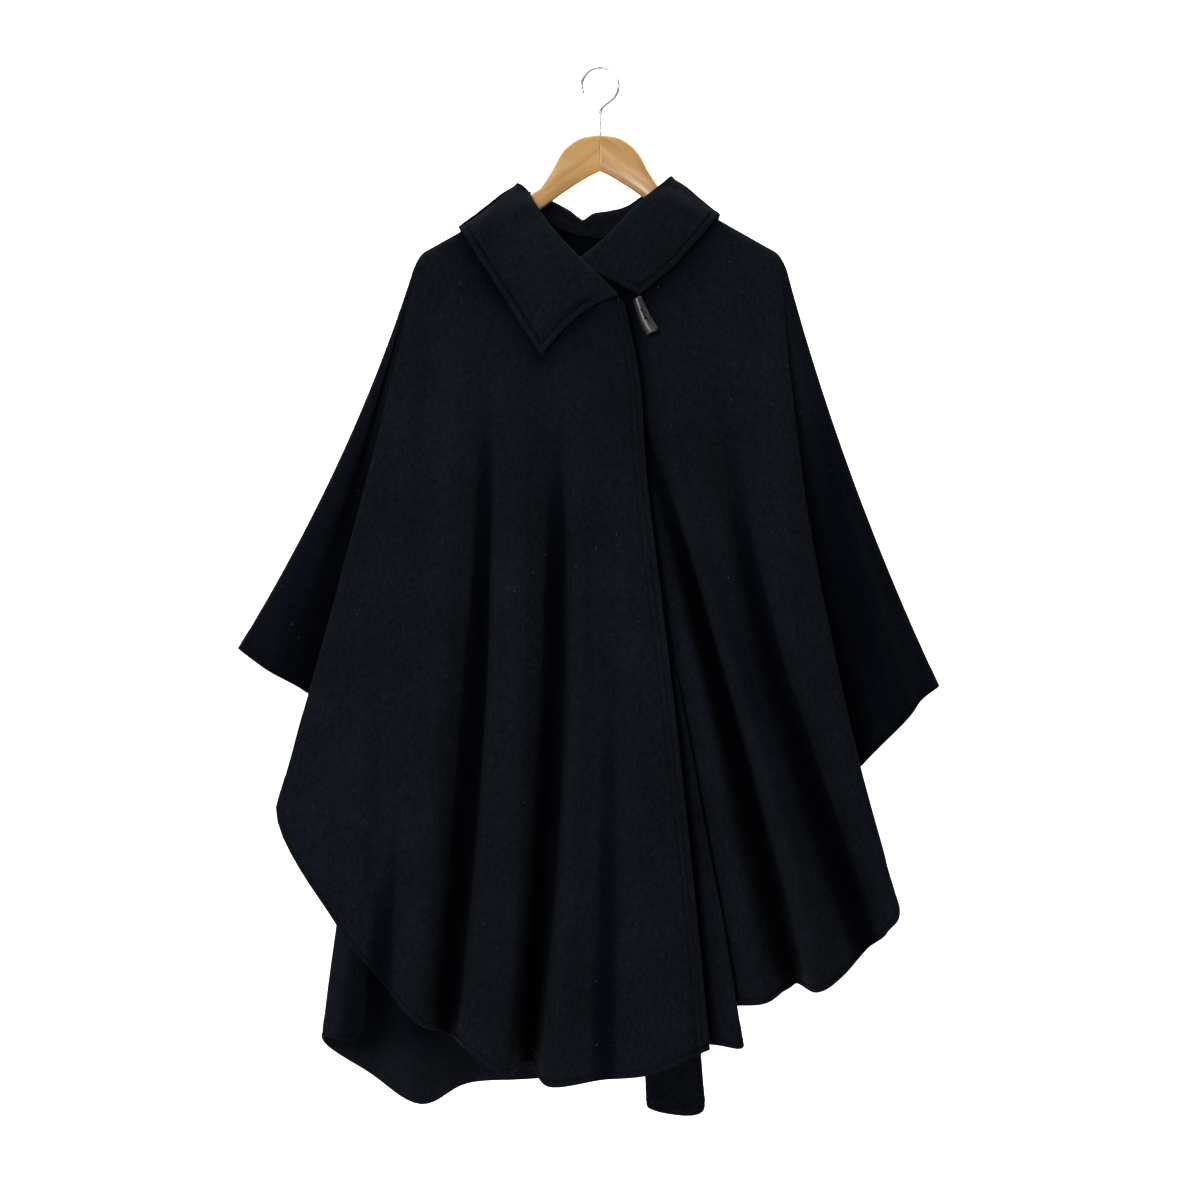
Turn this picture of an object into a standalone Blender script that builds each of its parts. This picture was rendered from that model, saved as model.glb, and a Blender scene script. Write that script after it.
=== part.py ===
"""A wool cloak hung on a two-piece wooden hanger.

Sizes below are in millimetres and become metres once, when a mesh is made.
+X is the viewer's right, the front faces -Y and +Z is up. The origin is the inner top of the hook,
where a rod would carry it. Each panel is a sheet worked out from its fold lines: a row of a table
says where a line starts at the shoulder or neck, where it ends at the hem, and how far it stands
out of the plain drape there.
"""

import math
from collections import namedtuple

import bpy
import numpy as np
from mathutils import Vector
from mathutils.bvhtree import BVHTree

MM = 0.001

# Cloth
PANEL_HALF_WALL = 1.0
COLLAR_HALF_WALL = 1.5
SEAM_HALF_GAP = 0.15
TOUCH_GAP = 0.3

# Hanger arms
WOOD_THICK = 11.0
ARM_SLOPE = 0.60
ARM_START_X = 85.0
ARM_START_Z = -146.3
TIP_FORWARD = 20.0
TAPER_START = 172.0
TAPER_LENGTH = 34.0

# Drape over the arms
RIDGE_LIFT = TOUCH_GAP + PANEL_HALF_WALL
TURN_RADIUS = 8.0
NECK_TURN_RADIUS = 11.5
NECK_TURN_END = 112.0
NECK_TURN_RAMP = 26.0
SPREAD = 0.09
NECK_SOFTEN = 30.0
FOLD_GROWTH = 1.15
SLEEVE_HEAD_X = 212.0
TIP_DIP = 13.0
CUFF_FORWARD = 4.0

# The sleeve's folded edge, which is the shoulder seam below the hanger's tip: a row for each side,
# with its far end at the cuff and how far its middle hangs in from a straight line.
SleeveEdge = namedtuple("SleeveEdge", "foot_x foot_z sag")
RIGHT_SLEEVE = SleeveEdge(-414, -665, 16)
LEFT_SLEEVE = SleeveEdge(388, -708, 12)

# The right front laps over the left one
LAP_FORWARD = 8.0
LAP_RAMP = 70.0
LAP_BACK = 5.0
LAP_BACK_START = 8.0
LAP_BACK_RAMP = 45.0

# How far the cloth rolls away from the hanger at the neck, a row for the front and one for the back
Bulge = namedtuple("Bulge", "out height wide tall")
FRONT_BULGE = Bulge(22.0, -250.0, 75.0, 130.0)
BACK_BULGE = Bulge(24.0, -185.0, 70.0, 110.0)
BULGE_START = 35.0

# The neck seam, a row for each place along it, seen from the front
SeamPoint = namedtuple("SeamPoint", "x z")
RIGHT_NECK_X = -85.0
LEFT_NECK_X = 78.0
NECK_RIGHT = [
    SeamPoint(-85, -145), SeamPoint(-83, -156), SeamPoint(-74, -169), SeamPoint(-60, -191),
    SeamPoint(-40, -214), SeamPoint(-18, -236), SeamPoint(0, -252), SeamPoint(24, -277),
]
NECK_LEFT = [
    SeamPoint(-34, -241), SeamPoint(-12, -228), SeamPoint(8, -209), SeamPoint(27, -189),
    SeamPoint(50, -168), SeamPoint(66, -159), SeamPoint(76, -152), SeamPoint(78, -141),
]
NECK_BACK = [
    SeamPoint(-85, -145), SeamPoint(-83, -156), SeamPoint(-62, -170), SeamPoint(-30, -181),
    SeamPoint(0, -185), SeamPoint(38, -177), SeamPoint(62, -164), SeamPoint(76, -152), SeamPoint(78, -141),
]

# Fold lines, a row for each crest or valley. head_x is where the line leaves the shoulder or neck,
# foot_x and foot_z where it meets the hem, out how far it stands out of the plain drape at the hem
# (minus for a valley), bow how far its middle lies to the right of a straight line, and opens the
# share of its length above which the cloth is still plain.
Fold = namedtuple("Fold", "name head_x foot_x foot_z out bow opens")
FRONT_RIGHT_FOLDS = [
    Fold("shoulder seam", -212, RIGHT_SLEEVE.foot_x, RIGHT_SLEEVE.foot_z, 0, RIGHT_SLEEVE.sag, 0.0),
    Fold("sleeve crest", -209, -374, -690, 14, 11, 0.1),
    Fold("valley side", -206, -338, -714, -24, -1, 0.0),
    Fold("sleeve valley", -203, -291, -753, -34, 0, 0.0),
    Fold("front layer edge", -199, -359, -841, 34, 4, 0.0),
    Fold("outer crest", -188, -288, -968, 30, 3, 0.1),
    Fold("faint valley", -174, -236, -1032, 12, 3, 0.3),
    Fold("second crest", -150, -196, -1070, 22, 3, 0.15),
    Fold("first valley", -126, -171, -1091, -34, 7, 0.2),
    Fold("third crest", -108, -145, -1098, 20, 5, 0.15),
    Fold("deep valley side", -85, -104, -1127, 16, 10, 0.15),
    Fold("deep valley", -52, -80, -1128, -56, 10, 0.16),
    Fold("middle crest", -38, -56, -1137, 22, 8, 0.15),
    Fold("soft dip", -10, 0, -1132, 6, 6, 0.3),
    Fold("edge crest", 6, 55, -1124, 16, 6, 0.2),
    Fold("front edge", 24, 119, -1101, 2, 6, 0.2),
]
FRONT_LEFT_FOLDS = [
    Fold("hidden front edge", -34, 76, -1098, -22, 6, 0.0),
    Fold("inner strip", -29, 128, -1101, -8, 22, 0.1),
    Fold("inner strip edge", -26, 157, -1098, 6, 12, 0.2),
    Fold("hidden turn", -23, 139, -1064, -18, 14, 0.2),
    Fold("lit strip", -19, 182, -1052, 2, 16, 0.1),
    Fold("dark valley", -16, 219, -1042, -58, 16, 0.06),
    Fold("diagonal edge", -12, 237, -1036, 30, 18, 0.05),
    Fold("broad crest", 40, 266, -1022, 24, 0, 0.15),
    Fold("middle valley", 78, 300, -1002, -16, -16, 0.2),
    Fold("outer crest", 132, 318, -978, 24, -22, 0.15),
    Fold("front layer edge", 199, 328, -942, 34, -22, 0.0),
    Fold("sleeve valley", 203, 268, -838, -34, -8, 0.0),
    Fold("valley side", 206, 300, -796, -24, 2, 0.0),
    Fold("sleeve band", 208, 345, -746, 14, -7, 0.1),
    Fold("sleeve dip", 210, 364, -724, 5, -10, 0.2),
    Fold("shoulder seam", 212, LEFT_SLEEVE.foot_x, LEFT_SLEEVE.foot_z, 0, -LEFT_SLEEVE.sag, 0.0),
]
BACK_FOLDS = [
    Fold("right shoulder seam", -212, RIGHT_SLEEVE.foot_x, RIGHT_SLEEVE.foot_z, 0, RIGHT_SLEEVE.sag, 0.0),
    Fold("right sleeve crest", -209, -376, -684, 14, 11, 0.1),
    Fold("right sleeve end", -206, -322, -712, -14, 3, 0.0),
    Fold("right inner turn", -204, -270, -1080, -50, 0, 0.0),
    Fold("right outer edge", -199, -328, -1126, 6, 0, 0.0),
    Fold("right back crest", -178, -276, -1176, 30, 4, 0.1),
    Fold("right lit fold", -154, -210, -1200, -34, 4, 0.15),
    Fold("right valley crest", -124, -160, -1193, 26, 4, 0.15),
    Fold("inner fold", -85, -76, -1181, -16, 0, 0.2),
    Fold("middle crest", -50, 8, -1182, 20, 0, 0.2),
    Fold("behind the tab", -20, 76, -1188, 24, 0, 0.25),
    Fold("tab left edge", -4, 57, -1214, -28, 2, 0.25),
    Fold("tab right edge", 24, 122, -1216, -24, 4, 0.25),
    Fold("left hidden turn", 44, 108, -1150, 20, 4, 0.25),
    Fold("left back crest", 78, 166, -1092, 28, 4, 0.15),
    Fold("left soft valley", 112, 212, -1072, -12, 2, 0.2),
    Fold("left outer crest", 158, 258, -1046, 28, -4, 0.1),
    Fold("left outer edge", 199, 288, -1018, 4, -10, 0.0),
    Fold("left inner turn", 204, 242, -958, -44, -10, 0.0),
    Fold("left sleeve end", 207, 292, -800, -14, 0, 0.0),
    Fold("left sleeve crest", 209, 346, -742, 14, -9, 0.1),
    Fold("left shoulder seam", 212, LEFT_SLEEVE.foot_x, LEFT_SLEEVE.foot_z, 0, -LEFT_SLEEVE.sag, 0.0),
]

# Where each panel is sampled across, within the first fold beside a shoulder seam and elsewhere
SEAM_STEPS = (0.03, 0.10)
FOLD_STEPS = (0.0, 1 / 3, 2 / 3)
HEAD_ROWS = (0.0, 0.0015, 0.006, 0.018, 0.045)
NECK_STEPS = (0.006, 0.02, 0.05, 0.1)
LOWER_ROWS = 11

# The collar, a row for each section round the neck: the cloth that it lies on, the x of the seam
# that it is sewn to, the line that it rolls over, its outer edge and how far the fall arches up
# between. roll_y is given only near the hanger's arms, else the collar follows the cloth's depth.
Section = namedtuple("Section", "panel seam_x roll_x roll_y roll_z edge_x edge_z arch")
COLLAR_SECTIONS = [
    Section("right", 23, 17, None, -266, -70, -327, 9),
    Section("right", 0, -9, None, -240, -90, -296, 3),
    Section("right", -22, -29, None, -219, -107, -268, 0),
    Section("right", -44, -50, None, -195, -124, -242, 0),
    Section("right", -64, -68, None, -170, -140, -217, 0),
    Section("right", -81, -84, -12, -143, -151, -200, 0),
    Section("right", -84.2, -91, -6, -136, -156, -190, 0),
    Section("ridge", -85, -95, 0, -132, -158, -184, 0),
    Section("back", -84.6, -91, 6, -134, -156, -192, 0),
    Section("back", -81, -84, 14, -139, -148, -210, 0),
    Section("back", -60, -59, None, -147, -112, -243, 0),
    Section("back", -32, -34, None, -157, -62, -258, 0),
    Section("back", -19, -20, None, -167, -30, -262, 0),
    Section("back", -5, -6, None, -159, 0, -262, 0),
    Section("back", 28, 30, None, -153, 48, -250, 0),
    Section("back", 54, 53, None, -140, 92, -232, 0),
    Section("back", 74, 75, 12, -131, 124, -203, 0),
    Section("back", 77.7, 80, 6, -126, 132, -181, 0),
    Section("ridge", 78, 82, 0, -124, 134, -169, 0),
    Section("left", 77.7, 79, -6, -128, 132, -173, 0),
    Section("left", 74, 73, -12, -134, 127, -181, 0),
    Section("left", 56, 52, None, -151, 117, -192, 0),
    Section("left", 33, 30, None, -174, 101, -210, 0),
    Section("left", 11, 9, None, -198, 84, -230, 0),
    Section("left", -11, -13, None, -217, 66, -246, 2),
    Section("left", -31, -31, None, -230, 44, -262, 4),
]
FALL_SHARES = (0.2, 0.45, 0.72, 1.0)
ROLL_RADIUS = 3.6
STAND_INSET = PANEL_HALF_WALL + TOUCH_GAP + COLLAR_HALF_WALL + 0.6
NEAR_ARM_DEPTH = 10.0
ARM_CLEARANCE = 1.2
# Where each section is sampled across: the stand, the roll, then the fall
ACROSS = (0, 1, 2, 2.5, 3, 3.5, 4, 5, 6, 7, 8)
STAND_COLUMNS = (0, 1, 2)
FALL_COLUMNS = (5, 6, 7, 8, 9, 10)
FALL_LIFT = PANEL_HALF_WALL + TOUCH_GAP + COLLAR_HALF_WALL + 1.6
STAND_OVERLAP = 2.0

# The hanger's outline, a row for each station out from the middle
Station = namedtuple("Station", "out top bottom")
ARM_STATIONS = [
    Station(0, -75, -113), Station(12, -76, -119), Station(23, -79, -127), Station(34, -85.5, -135),
    Station(44, -96, -143), Station(54, -115, -151), Station(68, -136.5, -161), Station(85, -146.7, -172),
    Station(120, -167.7, -192), Station(157, -189.9, -211), Station(190, -209.7, -228),
    Station(197, -216.9, -230.5), Station(202, -222.9, -232.5),
]
ARM_SIDES = 7
ARM_SMOOTH_ANGLE = 40
SHANK_RADIUS = 1.9
SHANK_BORE = SHANK_RADIUS + TOUCH_GAP
SHANK_DEPTH = 20.0

# The hook: a wire ring round its centre, then a neck down to the shank
HOOK_RING = 21.0
HOOK_TIP_ANGLE = math.radians(205)
HOOK_END_ANGLE = math.radians(-52)
HOOK_NECK_Z = -58.0
HOOK_NECK_REACH = 14.0
HOOK_SHANK_Z = -70.0
HOOK_NECK_STEPS = 9
HOOK_RING_STEPS = 22

# The toggle, a row for each ring from its upper end to its lower one
Ring = namedtuple("Ring", "along bend wide thick")
TOGGLE_RINGS = [
    Ring(0.0, 1.6, 9.6, 7.0), Ring(0.6, 1.5, 10.8, 7.8), Ring(9, 0.7, 12.2, 8.6),
    Ring(18, 0.1, 13.6, 9.4), Ring(27, 0.0, 14.8, 10.2), Ring(35, 0.5, 15.9, 11.0),
    Ring(42.2, 1.3, 16.7, 11.5), Ring(43, 1.4, 15.7, 10.8),
]
TOGGLE_SIDES = 16
TOGGLE_SMOOTH_ANGLE = 40
TOGGLE_TOP_X = 40.5
TOGGLE_TOP_Z = -267.5
TOGGLE_BOTTOM_X = 58.5
TOGGLE_BOTTOM_Z = -307.0
TOGGLE_Y = -43.75
TOGGLE_HOLES = (15.0, 25.6)
TOGGLE_HOLE_RADIUS = 1.3
TOGGLE_BORE = 30.0
BORE_SIDES = 16


def clear_scene():
    for item in list(bpy.data.objects):
        bpy.data.objects.remove(item, do_unlink=True)


def material(name, colour, roughness, metallic=0.0):
    finish = bpy.data.materials.new(name)
    finish.use_nodes = True
    shader = finish.node_tree.nodes["Principled BSDF"]
    shader.inputs["Base Color"].default_value = (*colour, 1.0)
    shader.inputs["Roughness"].default_value = roughness
    shader.inputs["Metallic"].default_value = metallic
    finish.diffuse_color = (*colour, 1.0)
    return finish


def add_object(name, points, faces, finish, smooth_angle=50):
    """One node from points in millimetres and its faces."""
    mesh = bpy.data.meshes.new(name)
    mesh.from_pydata((np.asarray(points) * MM).tolist(), [], [list(map(int, face)) for face in faces])
    mesh.update()
    mesh.shade_smooth()
    mesh.set_sharp_from_angle(angle=math.radians(smooth_angle))
    mesh.materials.append(finish)
    item = bpy.data.objects.new(name, mesh)
    bpy.context.scene.collection.objects.link(item)
    return item


def smooth_step(value):
    value = np.clip(value, 0.0, 1.0)
    return value * value * (3 - 2 * value)


def along_knots(knots, places):
    """Values read along a smooth line through evenly numbered knots, rows of a 2-D array."""
    knots = np.asarray(knots, float)
    places = np.asarray(places, float)
    slopes = np.gradient(knots, axis=0)
    low = np.clip(np.floor(places).astype(int), 0, len(knots) - 2)
    part = (places - low)[:, None]
    rise = knots[low + 1] - knots[low]
    first = slopes[low]
    last = slopes[low + 1]
    return (
        knots[low] + first * part + (3 * rise - 2 * first - last) * part**2
        + (first + last - 2 * rise) * part**3
    )


def arm_line(out):
    """Height of the cloth's middle surface on top of an arm, dipping over the rounded tip."""
    dip = np.clip((out - (SLEEVE_HEAD_X - TIP_DIP)) / TIP_DIP, 0.0, None)
    return ARM_START_Z + RIDGE_LIFT - ARM_SLOPE * (out - ARM_START_X) - TIP_DIP * dip**2


def sleeve_share(x):
    """Share of the way down the sleeve's folded edge, from its bowed line's own quadratic."""
    share = np.zeros_like(x)
    for sleeve, chosen in ((RIGHT_SLEEVE, x < 0), (LEFT_SLEEVE, x >= 0)):
        reach = abs(sleeve.foot_x) - SLEEVE_HEAD_X
        first = reach - 4 * sleeve.sag
        beyond = np.clip(np.abs(x) - SLEEVE_HEAD_X, 0.0, None)
        root = (-first + np.sqrt(first**2 + 16 * sleeve.sag * beyond)) / (8 * sleeve.sag)
        share = np.where(chosen, root, share)
    return share


def ridge_height(x):
    """Height of the cloth's middle surface along the shoulder and down the sleeve's fold."""
    x = np.asarray(x, float)
    out = np.abs(x)
    foot_z = np.where(x < 0, RIGHT_SLEEVE.foot_z, LEFT_SLEEVE.foot_z)
    tip_z = arm_line(np.array(SLEEVE_HEAD_X))
    sleeve = tip_z + (foot_z - tip_z) * sleeve_share(x)
    return np.where(out < SLEEVE_HEAD_X, arm_line(out), sleeve)


def ridge_depth(x):
    """How far forward the arms carry the shoulder line, and the sleeve's fold after it."""
    x = np.asarray(x, float)
    arm = -TIP_FORWARD * (x / SLEEVE_HEAD_X) ** 2
    sleeve = -TIP_FORWARD + (TIP_FORWARD - CUFF_FORWARD) * sleeve_share(x)
    return np.where(np.abs(x) < SLEEVE_HEAD_X, arm, sleeve)


def ridge_cosine(x):
    """Cosine of the shoulder line's slope, which turns a drop into a distance from that line."""
    slope = (ridge_height(x - 0.5) - ridge_height(x + 0.5))
    return 1.0 / np.sqrt(1.0 + slope * slope)


def turn_radius(x):
    """Radius of the cloth's turn over the arm, wider where the collar's stand lies inside it."""
    near_neck = smooth_step((NECK_TURN_END - np.abs(x)) / NECK_TURN_RAMP)
    return TURN_RADIUS + (NECK_TURN_RADIUS - TURN_RADIUS) * near_neck


def turn_angle(x, z):
    """Angle round the turn over the arm, from 0 on top to a quarter turn where the cloth hangs."""
    gap = np.clip(ridge_height(x) - z, 0.0, None) * ridge_cosine(x)
    return np.arccos(np.clip(1.0 - gap / turn_radius(x), 0.0, 1.0))


def drape_depth(x, z, side):
    """The plain drape: a quarter turn over the arm, an even spread below it and a roll at the neck."""
    drop = np.clip(ridge_height(x) - z, 0.0, None)
    roof = ARM_SLOPE * (np.hypot(x, NECK_SOFTEN) - np.abs(x))
    spread = SPREAD * np.clip(drop - roof, 0.0, None)
    shape = FRONT_BULGE if side < 0 else BACK_BULGE
    bulge = shape.out * np.exp(-((x / shape.wide) ** 2)) * np.exp(-(((z - shape.height) / shape.tall) ** 2))
    bulge = bulge * (1 - np.exp(-drop / BULGE_START))
    return ridge_depth(x) + side * (turn_radius(x) * np.sin(turn_angle(x, z)) + spread + bulge)


def right_lap(x, z):
    """How far the right front is carried forward where it lies over the left one."""
    return LAP_FORWARD * smooth_step((x + LAP_RAMP) / LAP_RAMP)


def left_lap(x, z):
    """How far the left front lies back under the edge of the right one."""
    top = NECK_RIGHT[-1]
    foot = FRONT_RIGHT_FOLDS[-1]
    edge = np.interp(-z, [-top.z, -foot.foot_z], [top.x, foot.foot_x])
    return LAP_BACK * (1 - smooth_step((x - edge - LAP_BACK_START) / LAP_BACK_RAMP))


def head_height(x, seam):
    """Height of a panel's top edge: the shoulder line, or the neck seam inside it."""
    inside = (x > RIGHT_NECK_X) & (x < LEFT_NECK_X)
    return np.where(inside, np.interp(x, [p.x for p in seam], [p.z for p in seam]), ridge_height(x))


def sample_places(folds, seam_first, seam_last):
    """Where the panel is sampled across its folds, closer together at a shoulder seam and a neck point."""
    last = len(folds) - 1
    places = [index + step for index in range(last) for step in FOLD_STEPS] + [last]
    if seam_first:
        places += list(SEAM_STEPS)
    if seam_last:
        places += [last - step for step in SEAM_STEPS]
    for index, fold in enumerate(folds):
        if fold.head_x == RIGHT_NECK_X:
            places += [index + step for step in NECK_STEPS]
        if fold.head_x == LEFT_NECK_X:
            places += [index - step for step in NECK_STEPS]
    return np.unique(np.round(places, 4))


def panel_surface(folds, seam, side, lap, seam_first, seam_last):
    """Middle surface of a hanging panel, as an array of rows down it by columns across it."""
    knots = [[f.head_x, f.foot_x, f.foot_z, f.out, f.bow, f.opens] for f in folds]
    places = sample_places(folds, seam_first, seam_last)
    head_x, foot_x, foot_z, out, bow, opens = along_knots(knots, places).T
    rows = np.concatenate([HEAD_ROWS, np.linspace(0.09, 1.0, LOWER_ROWS)])[:, None]
    head_z = head_height(head_x, seam)
    x = head_x + (foot_x - head_x) * rows + bow * 4 * rows * (1 - rows)
    z = head_z + (foot_z - head_z) * rows
    grown = np.clip((rows - opens) / (1 - np.clip(opens, 0.0, 0.9)), 0.0, 1.0) ** FOLD_GROWTH
    y = drape_depth(x, z, side) + side * (out * grown + lap(x, z))
    y = np.where(np.abs(y - ridge_depth(x)) < SEAM_HALF_GAP, ridge_depth(x) + side * SEAM_HALF_GAP, y)
    return np.stack([x, y, z], axis=-1)


def surface_normals(grid, outward):
    down = np.gradient(grid, axis=0)
    across = np.gradient(grid, axis=1)
    normal = np.cross(down, across)
    normal /= np.linalg.norm(normal, axis=-1, keepdims=True)
    facing = np.sum(normal * outward, axis=-1).mean()
    return normal if facing > 0 else -normal


def flatten_at_seam(normal, where):
    """Turns the wall's end at a shoulder seam square to the seam, so that two panels meet face to face."""
    flat = normal.copy()
    flat[..., 1] = 0.0
    flat /= np.linalg.norm(flat, axis=-1, keepdims=True)
    normal[where] = flat[where]
    return normal


def wall_from_grid(grid, normal, half_wall):
    """A closed wall: the grid moved out and in along its normals, joined round its edge."""
    rows, columns = grid.shape[:2]
    outer = (grid + normal * half_wall).reshape(-1, 3)
    inner = (grid - normal * half_wall).reshape(-1, 3)
    index = np.arange(rows * columns).reshape(rows, columns)
    a, b = index[:-1, :-1], index[:-1, 1:]
    c, d = index[1:, 1:], index[1:, :-1]
    one = np.stack([a, d, c], axis=-1).reshape(-1, 3)
    two = np.stack([a, c, b], axis=-1).reshape(-1, 3)
    faces = np.concatenate([one, two])
    loop = np.concatenate([index[0, :-1], index[:-1, -1], index[-1, :0:-1], index[:0:-1, 0]])
    after = np.roll(loop, -1)
    count = rows * columns
    rim = np.concatenate([
        np.stack([loop, after, after + count], axis=-1),
        np.stack([loop, after + count, loop + count], axis=-1),
    ])
    middle = grid[rows // 2, columns // 2]
    edge_one = grid[rows // 2 + 1, columns // 2] - middle
    edge_two = grid[rows // 2 + 1, columns // 2 + 1] - middle
    if np.dot(np.cross(edge_one, edge_two), normal[rows // 2, columns // 2]) < 0:
        faces = faces[:, ::-1]
        rim = rim[:, ::-1]
    return np.concatenate([outer, inner]), np.concatenate([faces, faces[:, ::-1] + count, rim])


def make_panel(name, folds, seam, side, lap, seam_first, seam_last, finish):
    grid = panel_surface(folds, seam, side, lap, seam_first, seam_last)
    normal = surface_normals(grid, np.array([0.0, side, 0.0]))
    on_seam = np.zeros(grid.shape[:2], bool)
    on_seam[0] = np.abs(grid[0, :, 1] - ridge_depth(grid[0, :, 0])) < 2 * SEAM_HALF_GAP
    on_seam[:, 0] |= seam_first
    on_seam[:, -1] |= seam_last
    normal = flatten_at_seam(normal, on_seam)
    points, faces = wall_from_grid(grid, normal, PANEL_HALF_WALL)
    add_object(name, points, faces, finish)
    return grid


def no_lap(x, z):
    return np.zeros_like(x)


def left_lap_back(x, z):
    return -left_lap(x, z)


def section_depth(x, z, panel):
    """Depth of the cloth that a collar section lies on."""
    if panel == "back":
        return drape_depth(x, z, 1)
    if panel == "right":
        return drape_depth(x, z, -1) - right_lap(x, z)
    if panel == "left":
        return drape_depth(x, z, -1) + left_lap(x, z)
    return ridge_depth(x)


def lifted(x, z, panel, lift):
    """A point moved out from the cloth at x and z, square to it."""
    side = 1 if panel == "back" else -1
    x = float(x)
    z = min(float(z), float(ridge_height(x)))
    angle = 0.0 if panel == "ridge" else float(turn_angle(x, z))
    cosine = float(ridge_cosine(x))
    sine = math.sqrt(1 - cosine**2)
    up = lift * math.cos(angle)
    depth = float(section_depth(x, z, panel)) + side * lift * math.sin(angle)
    return np.array([x + math.copysign(up * sine, x), depth, z + up * cosine])


def collar_section(row):
    """Points across the collar, from its seam up the stand, over the roll and down the fall."""
    seams = {"right": NECK_RIGHT, "left": NECK_LEFT, "back": NECK_BACK}
    side = 1 if row.panel == "back" else -1
    up = np.array([0.0, 0.0, 1.0])
    if row.panel == "ridge":
        seam_z = float(ridge_height(row.seam_x))
        seam_y = float(ridge_depth(row.seam_x))
    else:
        table = seams[row.panel]
        seam_z = float(np.interp(row.seam_x, [p.x for p in table], [p.z for p in table]))
        seam_y = float(section_depth(row.seam_x, seam_z, row.panel))
    if row.roll_y is None:
        roll_z = row.roll_z - ROLL_RADIUS
        depth = float(section_depth(row.roll_x, roll_z, row.panel))
        start = np.array([row.seam_x, seam_y - side * STAND_INSET, seam_z - STAND_OVERLAP])
        inner = np.array([row.roll_x, depth - side * STAND_INSET, roll_z])
        roll = np.array([row.roll_x, depth, row.roll_z])
        outer = np.array([row.roll_x, depth + side * FALL_LIFT, roll_z])
    else:
        inward = np.array([-math.copysign(1.0, row.seam_x), 0.0, 0.0])
        start = np.array([row.seam_x, seam_y, seam_z]) + inward * STAND_INSET
        if abs(row.roll_y) > NEAR_ARM_DEPTH:
            start[1] -= side * STAND_INSET
        wood_top = float(arm_line(abs(start[0]))) - RIDGE_LIFT
        if abs(seam_y) < WOOD_THICK / 2 + COLLAR_HALF_WALL:
            start[2] = max(start[2], wood_top + ARM_CLEARANCE)
        roll = np.array([row.roll_x, row.roll_y, row.roll_z], float)
        inner = roll + (inward - up) * ROLL_RADIUS
        outer = roll - (inward + up) * ROLL_RADIUS
        outer[2] = max(outer[2], lifted(outer[0], outer[2], row.panel, FALL_LIFT)[2])
        roll[2] = max(roll[2], outer[2] + ROLL_RADIUS / 2)
    fall = []
    for share in FALL_SHARES:
        x = outer[0] + (row.edge_x - outer[0]) * share
        z = outer[2] + (row.edge_z - outer[2]) * share + row.arch * 4 * share * (1 - share)
        point = lifted(x, z, row.panel, FALL_LIFT)
        point[2] = max(point[2], z)
        if row.panel != "ridge" and row.roll_y is not None:
            point[1] = side * max(side * point[1], side * outer[1])
        fall.append(point)
    return [start, (start + inner) / 2, inner, roll, outer, *fall]


def cloth_tree(grids):
    """The middle surfaces of some panels, for finding how far a point lies from them."""
    points = []
    faces = []
    for grid in grids:
        rows, columns = grid.shape[:2]
        index = np.arange(rows * columns).reshape(rows, columns) + len(points)
        a, b = index[:-1, :-1], index[:-1, 1:]
        c, d = index[1:, 1:], index[1:, :-1]
        faces += np.concatenate([
            np.stack([a, d, c], axis=-1).reshape(-1, 3), np.stack([a, c, b], axis=-1).reshape(-1, 3),
        ]).tolist()
        points += grid.reshape(-1, 3).tolist()
    return BVHTree.FromPolygons(points, faces, all_triangles=True)


def moved_clear(point, tree, side, outside, lift):
    """The point, moved off the cloth's outside, or its inside, until it is the lift away."""
    spot, normal, _, distance = tree.find_nearest(Vector(point))
    outward = normal if (normal.y * side + normal.z > 0) == outside else -normal
    height = (Vector(point) - spot).dot(outward)
    inside = height < 0 and distance < 2 * abs(height) + 1
    if inside or distance < lift:
        return point + np.array(outward) * (lift - height)
    return point


def make_collar(grids, finish):
    knots = np.array([collar_section(row) for row in COLLAR_SECTIONS], float)
    places = np.arange(0, len(COLLAR_SECTIONS) - 0.99, 0.5)
    rounds = along_knots(knots.reshape(len(knots), -1), places).reshape(len(places), -1, 3)
    grid = np.array([along_knots(line, ACROSS) for line in rounds])
    trees = {
        "right": cloth_tree([grids["front_right"]]),
        "left": cloth_tree([grids["front_left"]]),
        "back": cloth_tree([grids["back"]]),
    }
    for number, place in enumerate(places):
        around = [COLLAR_SECTIONS[math.floor(place)], COLLAR_SECTIONS[math.ceil(place)]]
        beside = {row.panel for row in around}
        on_arm = any(row.roll_y is not None for row in around)
        if "ridge" in beside:
            beside = set(trees)
        for panel in sorted(beside):
            side = 1 if panel == "back" else -1
            for column in () if on_arm else STAND_COLUMNS:
                point = grid[number, column]
                grid[number, column] = moved_clear(point, trees[panel], side, False, STAND_INSET)
            for column in FALL_COLUMNS:
                point = grid[number, column]
                grid[number, column] = moved_clear(point, trees[panel], side, True, FALL_LIFT)
    down = np.gradient(grid, axis=1)
    along = np.gradient(grid, axis=0)
    normal = np.cross(down, along)
    normal /= np.linalg.norm(normal, axis=-1, keepdims=True)
    front_edge = normal[0, -1, 1]
    if front_edge > 0:
        normal = -normal
    points, faces = wall_from_grid(grid, normal, COLLAR_HALF_WALL)
    return add_object("collar", points, faces, finish)


def arm_outline(top, bottom, half_thick):
    """An upright section with round top and bottom, as offsets in y and heights."""
    angles = np.linspace(0, math.pi, ARM_SIDES)
    radius = min(half_thick, (top - bottom) / 2 - 0.01)
    upper = [(half_thick * math.cos(a), top - radius + radius * math.sin(a)) for a in angles]
    lower = [(-half_thick * math.cos(a), bottom + radius - radius * math.sin(a)) for a in angles]
    return upper + lower


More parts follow.
